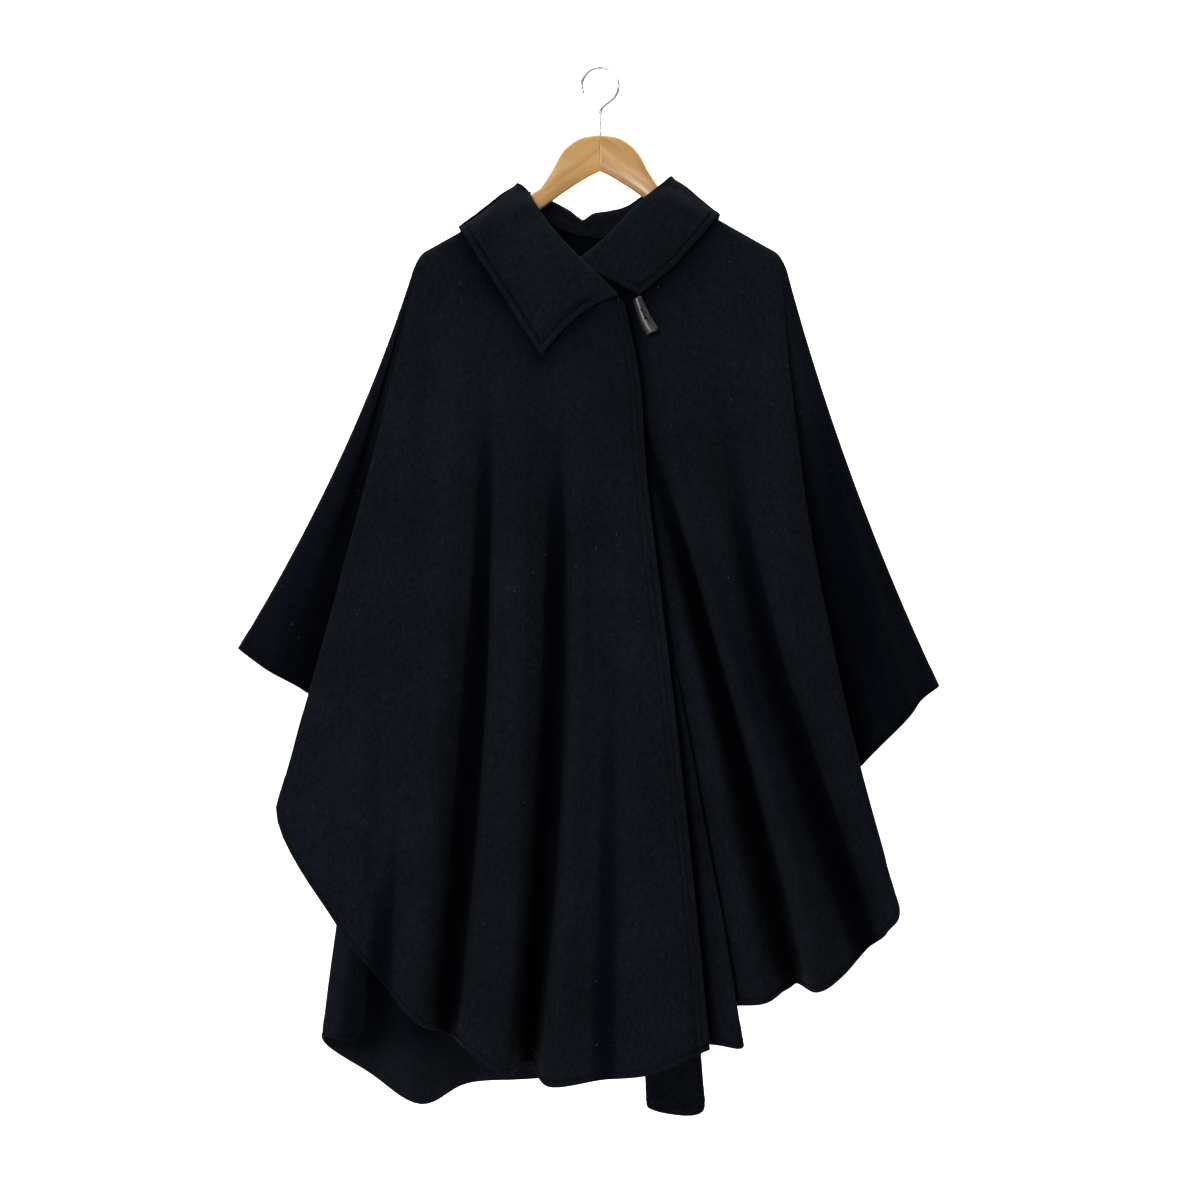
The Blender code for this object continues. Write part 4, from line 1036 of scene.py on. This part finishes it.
def tube(path, radius, sides, frame_side, squash=1.0):
    """A round profile carried along a path: at each point a circle in the plane square to the path."""
    path = np.asarray(path, float)
    heading = unit(np.gradient(path, axis=0))
    one = unit(np.cross(heading, frame_side))
    two = np.cross(heading, one)
    turns = np.arange(sides) / sides * 2 * math.pi
    radius = np.broadcast_to(radius, (len(path),))[:, None, None]
    return (
        path[:, None] + radius * np.cos(turns)[None, :, None] * one[:, None]
        + squash * radius * np.sin(turns)[None, :, None] * two[:, None]
    )


def closed_rings(rings):
    """Faces of a row of rings: quads between them, and each end closed by quads to its middle."""
    count, sides = rings.shape[:2]
    index = np.arange(count * sides).reshape(count, sides)
    points = np.concatenate([rings.reshape(-1, 3), rings[0].mean(axis=0)[None], rings[-1].mean(axis=0)[None]])
    even = np.arange(0, sides, 2)
    odd = even + 1
    after = (odd + 1) % sides
    middle = np.full(len(even), count * sides)
    first = np.stack([index[0, even], middle, index[0, after], index[0, odd]], axis=-1)
    last = np.stack([index[-1, even], index[-1, odd], index[-1, after], middle + 1], axis=-1)
    return points, np.concatenate([ring_faces(index), first, last])


def facing_out(points, faces):
    """Faces in the order that makes the enclosed volume more than nothing."""
    corner = points[faces]
    volume = np.einsum("ij,ij->i", corner[:, 0], np.cross(corner[:, 1], corner[:, 2])).sum()
    volume += np.einsum("ij,ij->i", corner[:, 0], np.cross(corner[:, 2], corner[:, 3])).sum()
    return faces if volume > 0 else faces[:, ::-1]


def make_toggle(finish, thread):
    """A horn: ellipses that widen down a bent line, with rounded cut ends and two drilled holes."""
    knots = np.array([[r.along, r.bend, r.wide / 2, r.thick / 2] for r in TOGGLE_RINGS[1:-1]])
    inside = along_knots(knots, np.linspace(0, len(knots) - 1, 60))
    first, last = inside[0], inside[-1]
    lip = np.linspace(0, 1, 7)
    ends = []
    for row, reach in ((first, -0.6), (last, 0.8)):
        along = row[0] + reach * np.sin(lip * math.pi / 2)
        drop = 1.2 * (1 - np.cos(lip * math.pi / 2))
        cap = np.stack([along, np.full(7, row[1]), row[2] - drop, row[3] - drop], axis=-1)
        cup = [
            [cap[-1, 0] - math.copysign(inward, reach), row[1], cap[-1, 2] * size, cap[-1, 3] * size]
            for inward, size in ((0.3, 0.7), (0.5, 0.3))
        ]
        ends.append(np.concatenate([cap[1:], cup]))
    rows = np.concatenate([ends[0][::-1], inside, ends[1]])
    heading = (TOGGLE_BOTTOM - TOGGLE_TOP) / np.linalg.norm(TOGGLE_BOTTOM - TOGGLE_TOP)
    sideways = np.array([-heading[2], 0.0, heading[0]])
    turns = np.arange(48) / 48 * 2 * math.pi
    uneven = 1 + 0.012 * np.sin(3 * turns + 0.7)[None] * np.sin(rows[:, 0] / 6.0)[:, None]
    centre = TOGGLE_TOP + rows[:, :1] * heading + rows[:, 1:2] * sideways
    wide = (rows[:, 2:3] * np.cos(turns) * uneven)[..., None] * sideways
    deep = (rows[:, 3:4] * np.sin(turns) * uneven)[..., None] * np.array([0.0, 1.0, 0.0])
    points, faces = closed_rings(centre[:, None] + wide + deep)
    piece = add_piece("horn_toggle", points, facing_out(points, faces), finish)
    cutters = []
    for number, distance in enumerate(TOGGLE_HOLES):
        middle = TOGGLE_TOP + heading * distance
        path = middle + np.linspace(-12, 12, 13)[:, None] * np.array([0.0, 1.0, 0.0])
        reach = np.abs(path[:, 1] - middle[1])
        flare = TOGGLE_HOLE_RADIUS + 0.5 * smooth_step((reach - 3.6) / 1.6)
        rings = tube(path, flare, 24, np.array([0.0, 0.0, 1.0]))
        hole_points, hole_faces = closed_rings(rings)
        mesh = bpy.data.meshes.new("hole")
        mesh.from_pydata((hole_points * MM).tolist(), [], facing_out(hole_points, hole_faces).tolist())
        cutter = bpy.data.objects.new(f"hole_{number}", mesh)
        bpy.context.scene.collection.objects.link(cutter)
        cutters.append(cutter)
        modifier = piece.modifiers.new("hole", "BOOLEAN")
        modifier.operation = "DIFFERENCE"
        modifier.object = cutter
        modifier.solver = "EXACT"
    bpy.context.view_layer.update()
    shaped = bpy.data.meshes.new_from_object(piece.evaluated_get(bpy.context.evaluated_depsgraph_get()))
    piece.modifiers.clear()
    piece.data = shaped
    for cutter in cutters:
        bpy.data.objects.remove(cutter)
    shaped.shade_smooth()
    shaped.set_sharp_from_angle(angle=math.radians(38))
    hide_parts("toggle")
    holes = [TOGGLE_TOP + heading * distance for distance in TOGGLE_HOLES]
    front = TOGGLE_TOP[1] - 4.95
    strands = []
    for offset in (-0.3, 0.3):
        share = np.linspace(0, 1, 31)[:, None]
        path = holes[0] + (holes[1] - holes[0]) * share + sideways * offset * (1 - 0.3 * np.cos(2 * math.pi * share))
        rise = np.clip(np.minimum(share, 1 - share) / 0.07, 0, 1)
        path[:, 1] = TOGGLE_TOP[1] + (front - TOGGLE_TOP[1]) * rise[:, 0] - 0.15 * np.sin(share[:, 0] * math.pi)
        strands.append(tube(path, 0.3, 8, np.array([1.0, 0.0, 0.4])))
    meshes = [closed_rings(strand) for strand in strands]
    faces = [facing_out(*mesh) + number * len(mesh[0]) for number, mesh in enumerate(meshes)]
    sewn = add_piece("toggle_thread", np.concatenate([mesh[0] for mesh in meshes]), np.concatenate(faces), thread)


def make_arm(name, hand, finish):
    """One wooden arm: a rounded upright section carried out along its top and bottom lines."""
    stations = np.array(ARM_STATIONS, float)
    spans = ((1.2, 60, 60), (62, 190, 80), (190.5, 201.6, 24))
    out = np.concatenate([[0.02, 0.2, 0.45, 0.8], *(np.linspace(*span) for span in spans)])
    top = np.interp(out, stations[:, 0], stations[:, 1])
    bottom = np.interp(out, stations[:, 0], stations[:, 2])
    places = np.interp(out, stations[:, 0], np.arange(len(stations)))
    smooth = along_knots(stations, places)
    inner = smooth_step((66 - out) / 12)
    top = top + (smooth[:, 1] - top) * inner
    bottom = bottom + (smooth[:, 2] - bottom) * inner
    half = WOOD_THICK / 2 * np.sqrt(1 - np.clip((out - TAPER_START) / TAPER_LENGTH, 0, None) ** 2)
    half = half - 0.45 * np.clip(1 - out / 0.8, 0, 1)
    turns = np.arange(64) / 64 * 2 * math.pi
    round_y = np.sign(np.cos(turns)) * np.abs(np.cos(turns)) ** 0.75
    round_z = np.sign(np.sin(turns)) * np.abs(np.sin(turns)) ** 0.62
    middle = (top + bottom) / 2
    tall = (top - bottom) / 2
    forward = -TIP_FORWARD * (out / SLEEVE_HEAD_X) ** 2
    rings = np.stack([
        np.broadcast_to(hand * out[:, None], (len(out), 64)),
        forward[:, None] + half[:, None] * round_y,
        middle[:, None] + tall[:, None] * round_z,
    ], axis=-1)
    points, faces = closed_rings(rings)
    piece = add_piece(f"wooden_{name}", points, facing_out(points, faces), finish, angle=45)
    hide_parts(name)


def make_hook(finish):
    """The wire hook: a circle's arc, then a curve with two guides down to the straight shank."""
    centre = SHANK_RADIUS - HOOK_RING
    angles = np.linspace(HOOK_TIP_ANGLE, HOOK_END_ANGLE, 120)
    ring = np.stack([HOOK_RING * np.cos(angles), 0 * angles, centre + HOOK_RING * np.sin(angles)], axis=-1)
    heading = np.array([math.sin(HOOK_END_ANGLE), 0.0, -math.cos(HOOK_END_ANGLE)])
    foot = np.array([0.0, 0.0, HOOK_NECK_Z])
    share = np.linspace(0, 1, 40)[1:, None]
    one = ring[-1] + heading * HOOK_NECK_REACH
    two = foot + np.array([0.0, 0.0, HOOK_NECK_REACH])
    neck = (
        ring[-1] * (1 - share) ** 3 + 3 * one * share * (1 - share) ** 2
        + 3 * two * share**2 * (1 - share) + foot * share**3
    )
    shank = np.stack([np.zeros(12), np.zeros(12), np.linspace(HOOK_NECK_Z - 2, HOOK_SHANK_END, 12)], axis=-1)
    path = np.concatenate([ring, neck, shank])
    radius = np.full(len(path), SHANK_RADIUS)
    radius[:4] = SHANK_RADIUS * np.array([0.45, 0.75, 0.92, 0.99])
    points, faces = closed_rings(tube(path, radius, 28, np.array([0.0, 1.0, 0.0])))
    piece = add_piece("steel_hook", points, facing_out(points, faces), finish, angle=50)
    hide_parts("hanger_hook")


# ---- finishes -----------------------------------------------------------------------------------

class Finish:
    """A material under way: its shader, and the patterns, ramps, mixes and bumps linked into it."""

    def __init__(self, name, **levels):
        self.material = bpy.data.materials.new(name)
        self.material.use_nodes = True
        self.nodes = self.material.node_tree.nodes
        self.link = self.material.node_tree.links.new
        self.inputs = self.nodes["Principled BSDF"].inputs
        for key, value in levels.items():
            self.inputs[key.replace("_", " ")].default_value = value

    def pattern(self, kind, scale, stretch=(1, 1, 1), turn=0.0, **settings):
        """A pattern's first output, read at the piece's own place, turned upright and then stretched."""
        source = self.nodes.new("ShaderNodeTexCoord").outputs["Object"]
        for key, value in (("Rotation", (0, turn, 0)), ("Scale", stretch)):
            mapping = self.nodes.new("ShaderNodeMapping")
            mapping.inputs[key].default_value = value
            self.link(source, mapping.inputs["Vector"])
            source = mapping.outputs["Vector"]
        texture = self.nodes.new(f"ShaderNodeTex{kind}")
        for key, value in {"Scale": scale, **settings}.items():
            texture.inputs[key].default_value = value
        self.link(source, texture.inputs["Vector"])
        return texture.outputs[0]

    def ramp(self, source, stops):
        """A colour for each level of a pattern; a single number is a grey."""
        node = self.nodes.new("ShaderNodeValToRGB")
        stops = [(place, colour if isinstance(colour, tuple) else (colour,) * 3) for place, colour in stops]
        ends = node.color_ramp.elements
        for element, (place, colour) in ((ends[0], stops[0]), (ends[1], stops[-1])):
            element.position = place
            element.color = (*colour, 1)
        for place, colour in stops[1:-1]:
            ends.new(place).color = (*colour, 1)
        self.link(source, node.inputs["Fac"])
        return node.outputs["Color"]

    def mixed(self, first, second, factor=1.0, blend="MULTIPLY"):
        """Two colours mixed by a factor; each is a linked output, a colour or a number."""
        node = self.nodes.new("ShaderNodeMix")
        node.data_type = "RGBA"
        node.blend_type = blend
        for key, value in (("A", first), ("B", second), ("Factor", factor)):
            if isinstance(value, bpy.types.NodeSocket):
                self.link(value, node.inputs[key])
            else:
                node.inputs[key].default_value = (*value, 1) if isinstance(value, tuple) else value
        return node.outputs["Result"]

    def coloured(self, source):
        """The shader's base colour read from a linked output."""
        self.link(source, self.inputs["Base Color"])

    def bumped(self, height, distance, strength, before=None):
        """Relief from a pattern, over an earlier one where there is one."""
        node = self.nodes.new("ShaderNodeBump")
        node.inputs["Distance"].default_value = distance
        node.inputs["Strength"].default_value = strength
        self.link(height, node.inputs["Height"])
        if before is not None:
            self.link(before, node.inputs["Normal"])
        self.link(node.outputs["Normal"], self.inputs["Normal"])
        return node.outputs["Normal"]


def scaled(colour, size):
    """A colour times a number."""
    return tuple(size * c for c in colour)


def felted_wool(colours):
    """Black melton: fibres felted into a short nap, slightly uneven in tone, with a few pale flecks, and painted
    shade darkening it.
    """
    wool = Finish(
        "felted black wool", Roughness=0.95, Specular_IOR_Level=0.02, Sheen_Weight=0.005,
        Sheen_Roughness=0.55, Sheen_Tint=(0.75, 0.85, 1.0, 1),
    )
    fibres = wool.pattern("Noise", 620, (1, 1, 0.4), Detail=5, Roughness=0.7, Distortion=0.8)
    clumps = wool.pattern("Noise", 230, (1, 1, 0.7), Detail=4, Roughness=0.65, Distortion=0.4)
    broad = wool.pattern("Noise", 9, Detail=3, Roughness=0.5)
    specks = wool.pattern("Voronoi", 46, Randomness=1.0)
    base = tuple(colours.wool)
    cloth = wool.ramp(fibres, [(0.3, scaled(base, 0.42)), (0.55, base), (0.78, scaled(base, 1.9))])
    cloth = wool.mixed(cloth, wool.ramp(broad, [(0.3, 0.8), (0.7, 1.15)]))
    cloth = wool.mixed(cloth, wool.ramp(clumps, [(0.35, 0.78), (0.68, 1.25)]))
    # Painted shade: each point's shade share darkens the cloth towards a blue-black
    shade = wool.nodes.new("ShaderNodeAttribute")
    shade.attribute_name = "shade"
    painted_shade_tones = [(0.0, 1), (0.35, (0.42, 0.46, 0.58)), (1.0, (0.03, 0.065, 0.17))]
    cloth = wool.mixed(cloth, wool.ramp(shade.outputs["Fac"], painted_shade_tones))
    fleck = wool.ramp(specks, [(0.012, 1), (0.03, 0)])
    wool.coloured(wool.mixed(cloth, tuple(colours.lint), fleck, "MIX"))
    wool.bumped(fibres, 0.0003, 0.9, wool.bumped(clumps, 0.0006, 0.5))
    return wool.material


def sewing_thread(colours):
    """Black thread with its twist."""
    thread = Finish("black thread", Roughness=0.8, Specular_IOR_Level=0.08)
    twist = thread.pattern("Noise", 2600, (1, 1, 0.3), Detail=2)
    thread.coloured(thread.ramp(twist, [(0.3, scaled(colours.wool, 0.3)), (0.7, scaled(colours.wool, 1.1))]))
    thread.bumped(twist, 0.0001, 0.5)
    return thread.material


def grained_wood(name, colours, turn):
    """Honey beech: long grain along the arm, fine pores, a satin varnish."""
    beech = Finish(name, Roughness=0.38, Coat_Weight=0.35, Coat_Roughness=0.18)
    grain = beech.pattern("Noise", 60, (0.12, 1, 1.6), turn, Detail=6, Roughness=0.6, Distortion=0.8)
    rings = beech.pattern("Noise", 22, (0.1, 1, 1.8), turn, Detail=2, Distortion=1.5)
    pores = beech.pattern("Noise", 900, (0.06, 1, 1), turn, Detail=2)
    base = tuple(colours.wood)
    deep = tuple(c * s for c, s in zip(base, (0.8, 0.76, 0.68)))
    pale = tuple(min(1.0, c * s) for c, s in zip(base, (1.14, 1.16, 1.2)))
    wood = beech.ramp(grain, [(0.32, deep), (0.5, base), (0.72, pale)])
    wood = beech.mixed(wood, beech.ramp(rings, [(0.4, (0.92, 0.89, 0.84)), (0.6, 1.04)]))
    wood = beech.mixed(wood, beech.ramp(pores, [(0.28, (0.82, 0.76, 0.66)), (0.42, 1)]), 0.8)
    beech.coloured(wood)
    beech.bumped(pores, 0.0001, 0.25)
    return beech.material


def polished_horn(colours):
    """Dark horn: grey and brown streaks along its length under a polish."""
    horn = Finish(
        "polished horn", Roughness=0.4, Specular_IOR_Level=0.3, Coat_Weight=0.1, Coat_Roughness=0.12
    )
    turn = math.atan2(TOGGLE_BOTTOM[0] - TOGGLE_TOP[0], TOGGLE_TOP[2] - TOGGLE_BOTTOM[2])
    streaks = horn.pattern("Noise", 620, (1, 1, 0.09), turn, Detail=5, Roughness=0.7, Distortion=0.4)
    clouds = horn.pattern("Noise", 90, (1, 1, 0.5), turn, Detail=2)
    levels = ((0.36, 0.25), (0.48, 1.0), (0.56, 2.6), (0.66, 4.6))
    tone = horn.ramp(streaks, [(place, scaled(colours.horn, size)) for place, size in levels])
    horn.coloured(horn.mixed(tone, horn.ramp(clouds, [(0.35, (0.6, 0.58, 0.55)), (0.65, 1.2)])))
    horn.bumped(streaks, 0.0001, 0.35)
    return horn.material


def bright_steel(colours):
    """Plated wire with faint drawing lines and a little dulling."""
    steel = Finish("bright steel wire", Base_Color=(*colours.steel, 1), Metallic=1.0)
    dull = steel.pattern("Noise", 260, Detail=3)
    steel.link(steel.ramp(dull, [(0.3, 0.14), (0.75, 0.3)]), steel.inputs["Roughness"])
    steel.bumped(dull, 0.00005, 0.2)
    return steel.material


def pale_ground(colours):
    """The studio's pale ground, faintly uneven."""
    ground = Finish("pale studio ground", Roughness=0.9, Specular_IOR_Level=0.1)
    spots = ground.pattern("Noise", 3, Detail=2)
    ground.coloured(ground.ramp(spots, [(0.3, scaled(colours.ground, 0.985)), (0.7, tuple(colours.ground))]))
    return ground.material


# ---- add-on -------------------------------------------------------------------------------------

class CloakSizes(bpy.types.PropertyGroup):
    """Sizes that a maker would change, in millimetres."""

    crease_strength: bpy.props.FloatProperty(
        name="Crease strength", description="How strongly the hand-laid creases stand out",
        default=1.0, min=0, max=2
    )
    unevenness: bpy.props.FloatProperty(
        name="Unevenness", description="Height of the slow waves in the cloth, in millimetres",
        default=0.45, min=0, max=3
    )
    stitch_depth: bpy.props.FloatProperty(
        name="Stitch depth", description="How deep a stitched line presses into the wool, in millimetres",
        default=0.7, min=0, max=2
    )
    stitch_length: bpy.props.FloatProperty(
        name="Stitch length", description="Length of one stitch, in millimetres", default=3.4, min=1, max=8
    )


class CloakColours(bpy.types.PropertyGroup):
    """Colours that a maker would change."""

    wool: bpy.props.FloatVectorProperty(
        name="Wool", description="The cloth's mean colour",
        default=(0.0046, 0.0058, 0.0086), subtype="COLOR", min=0, max=1
    )
    lint: bpy.props.FloatVectorProperty(
        name="Lint", description="Colour of the pale flecks on the cloth",
        default=(0.09, 0.095, 0.1), subtype="COLOR", min=0, max=1
    )
    wood: bpy.props.FloatVectorProperty(
        name="Wood", description="The hanger's mean colour",
        default=(0.43, 0.236, 0.07), subtype="COLOR", min=0, max=1
    )
    horn: bpy.props.FloatVectorProperty(
        name="Horn", description="The toggle's mean colour",
        default=(0.0115, 0.0125, 0.012), subtype="COLOR", min=0, max=1
    )
    steel: bpy.props.FloatVectorProperty(
        name="Steel", description="The hook's colour",
        default=(0.62, 0.62, 0.63), subtype="COLOR", min=0, max=1
    )
    ground: bpy.props.FloatVectorProperty(
        name="Ground", description="The studio ground's colour",
        default=(0.93, 0.93, 0.93), subtype="COLOR", min=0, max=1
    )


class CloakStage(bpy.types.PropertyGroup):
    """The studio: its lights and its camera."""

    light_power: bpy.props.FloatProperty(
        name="Main light", description="Power of the main soft light",
        default=55, min=0, max=2000, unit="POWER"
    )
    camera_distance: bpy.props.FloatProperty(
        name="Camera distance", description="From the cloak's middle to the camera",
        default=2.2, min=0.5, max=20, unit="LENGTH"
    )
    camera_height: bpy.props.FloatProperty(
        name="Camera height", description="Height of the camera over the hook's inner top",
        default=-0.61, unit="LENGTH"
    )
    frame_width: bpy.props.FloatProperty(
        name="Frame width", description="Width that the camera sees at the hook",
        default=1.38, min=0.1, unit="LENGTH"
    )
    floor_height: bpy.props.FloatProperty(
        name="Floor height", description="Height of the floor under the cloak", default=-1.55, unit="LENGTH"
    )


class CLOAK_OT_front_right(bpy.types.Operator):
    """Make the wearer's right front, which laps over the other"""

    bl_idname = "cloak.front_right"
    bl_label = "Right front"

    def execute(self, context):
        piece, flat, area = make_panel("right", context.scene.cloak_sizes, felted_wool(context.scene.cloak_colours))
        return {"FINISHED"}


class CLOAK_OT_front_left(bpy.types.Operator):
    """Make the wearer's left front, which lies beneath"""

    bl_idname = "cloak.front_left"
    bl_label = "Left front"

    def execute(self, context):
        piece, flat, area = make_panel("left", context.scene.cloak_sizes, bpy.data.materials["felted black wool"])
        return {"FINISHED"}


class CLOAK_OT_back(bpy.types.Operator):
    """Make the back with the back halves of both sleeves"""

    bl_idname = "cloak.back"
    bl_label = "Back"

    def execute(self, context):
        piece, flat, area = make_panel("back", context.scene.cloak_sizes, bpy.data.materials["felted black wool"])
        return {"FINISHED"}


class CLOAK_OT_collar(bpy.types.Operator):
    """Make the turned-down collar with its stand"""

    bl_idname = "cloak.collar"
    bl_label = "Collar"

    def execute(self, context):
        piece, flat, area = make_collar(context.scene.cloak_sizes, bpy.data.materials["felted black wool"])
        return {"FINISHED"}


class CLOAK_OT_stitches(bpy.types.Operator):
    """Sew the topstitching along the hems, the front edges and the collar"""

    bl_idname = "cloak.stitches"
    bl_label = "Topstitching"

    def execute(self, context):
        make_stitches(context.scene.cloak_sizes, sewing_thread(context.scene.cloak_colours))
        return {"FINISHED"}


class CLOAK_OT_toggle(bpy.types.Operator):
    """Make the horn toggle and the thread through its holes"""

    bl_idname = "cloak.toggle"
    bl_label = "Toggle"

    def execute(self, context):
        make_toggle(polished_horn(context.scene.cloak_colours), bpy.data.materials["black thread"])
        return {"FINISHED"}


class CLOAK_OT_hanger(bpy.types.Operator):
    """Make the two wooden arms and the wire hook"""

    bl_idname = "cloak.hanger"
    bl_label = "Hanger"

    def execute(self, context):
        colours = context.scene.cloak_colours
        make_arm("hanger_right", -1, grained_wood("beech, right arm", colours, math.radians(38)))
        make_arm("hanger_left", 1, grained_wood("beech, left arm", colours, math.radians(-38)))
        make_hook(bright_steel(colours))
        return {"FINISHED"}


class CLOAK_OT_stage(bpy.types.Operator):
    """Set up the pale ground, the soft lights and the camera"""

    bl_idname = "cloak.stage"
    bl_label = "Studio"

    def execute(self, context):
        make_stage(context.scene.cloak_stage, context.scene.cloak_colours)
        return {"FINISHED"}


def make_stage(stage, colours):
    """A floor that turns up into a wall: a straight, a quarter circle and a straight, carried across."""
    low = stage.floor_height
    turn = np.linspace(0, math.pi / 2, 24)
    radius = 1.2
    back = 1.6
    depth = np.concatenate([[-6.0], back + radius * np.sin(turn), [back + radius]])
    height = np.concatenate([[low], low + radius * (1 - np.cos(turn)), [low + 6.0]])
    points = np.stack([
        np.broadcast_to(np.array([-7.0, 7.0])[None], (len(depth), 2)),
        np.broadcast_to(depth[:, None], (len(depth), 2)),
        np.broadcast_to(height[:, None], (len(depth), 2)),
    ], axis=-1).reshape(-1, 3)
    index = np.arange(len(depth) * 2).reshape(-1, 2)
    faces = np.stack([index[:-1, 0], index[:-1, 1], index[1:, 1], index[1:, 0]], axis=-1)
    mesh = bpy.data.meshes.new("studio_ground")
    mesh.from_pydata(points.tolist(), [], faces.tolist())
    mesh.shade_smooth()
    mesh.materials.append(pale_ground(colours))
    ground = bpy.data.objects.new("studio_ground", mesh)
    bpy.context.scene.collection.objects.link(ground)
    lights = (
        ("main", (-0.9, -2.3, 0.15), 0.9, stage.light_power, (-0.05, 0.0, -0.62)),
        ("fill", (1.6, -2.9, 0.1), 1.6, 0.14 * stage.light_power, (0.0, 0.0, -0.6)),
        ("over", (-0.2, -0.3, 1.6), 1.6, 0.18 * stage.light_power, (0.0, 0.0, -0.4)),
        ("wall wash", (0.0, 1.0, 1.9), 3.0, 2.8 * stage.light_power, (0.0, 2.8, -0.2)),
        ("floor wash", (0.0, 1.0, 1.5), 2.6, 1.5 * stage.light_power, (0.0, 2.2, -1.55)),
    )
    for name, place, size, power, target in lights:
        lamp = bpy.data.lights.new(name, "AREA")
        lamp.size = size
        lamp.energy = power
        lamp.color = (1.0, 0.985, 0.965)
        holder = bpy.data.objects.new(name, lamp)
        bpy.context.scene.collection.objects.link(holder)
        holder.location = place
        aim = np.array(target) - np.array(place)
        holder.rotation_euler = (
            math.acos(-aim[2] / np.linalg.norm(aim)), 0.0, math.atan2(aim[1], aim[0]) - math.pi / 2
        )
    world = bpy.data.worlds.new("studio air")
    world.use_nodes = True
    world.node_tree.nodes["Background"].inputs["Color"].default_value = (1.0, 1.0, 1.0, 1)
    world.node_tree.nodes["Background"].inputs["Strength"].default_value = 0.05
    bpy.context.scene.world = world
    bpy.context.scene.view_settings.view_transform = "Standard"
    camera = bpy.data.cameras.new("camera")
    camera.sensor_width = 36.0
    camera.lens = 36.0 * stage.camera_distance / stage.frame_width
    holder = bpy.data.objects.new("camera", camera)
    bpy.context.scene.collection.objects.link(holder)
    holder.location = (0.0, -stage.camera_distance, stage.camera_height)
    holder.rotation_euler = (math.pi / 2, 0.0, 0.0)
    bpy.context.scene.camera = holder


class CLOAK_PT_panel(bpy.types.Panel):
    """Buttons for the cloak's pieces, in the order of making."""

    bl_idname = "CLOAK_PT_panel"
    bl_label = "Hung wool cloak"
    bl_space_type = "VIEW_3D"
    bl_region_type = "UI"
    bl_category = "Cloak"

    def draw(self, context):
        layout = self.layout
        for group in (context.scene.cloak_sizes, context.scene.cloak_colours, context.scene.cloak_stage):
            box = layout.box()
            for name in group.bl_rna.properties.keys():
                if name not in ("rna_type", "name"):
                    box.prop(group, name)
        for operator in OPERATORS:
            layout.operator(operator.bl_idname)


OPERATORS = (
    CLOAK_OT_front_right, CLOAK_OT_front_left, CLOAK_OT_back, CLOAK_OT_collar,
    CLOAK_OT_stitches, CLOAK_OT_toggle, CLOAK_OT_hanger, CLOAK_OT_stage,
)
CLASSES = (CloakSizes, CloakColours, CloakStage, *OPERATORS, CLOAK_PT_panel)


def register():
    """Adds the properties, the operators and the panel."""
    for item in CLASSES:
        bpy.utils.register_class(item)
    bpy.types.Scene.cloak_sizes = bpy.props.PointerProperty(type=CloakSizes)
    bpy.types.Scene.cloak_colours = bpy.props.PointerProperty(type=CloakColours)
    bpy.types.Scene.cloak_stage = bpy.props.PointerProperty(type=CloakStage)


def unregister():
    """Takes them away again, last first."""
    del bpy.types.Scene.cloak_stage
    del bpy.types.Scene.cloak_colours
    del bpy.types.Scene.cloak_sizes
    for item in reversed(CLASSES):
        bpy.utils.unregister_class(item)


def main():
    """Makes every piece in order."""
    register()
    for step in ("front_right", "front_left", "back", "collar", "stitches", "toggle", "hanger", "stage"):
        getattr(bpy.ops.cloak, step)()


if __name__ == "__main__":
    main()
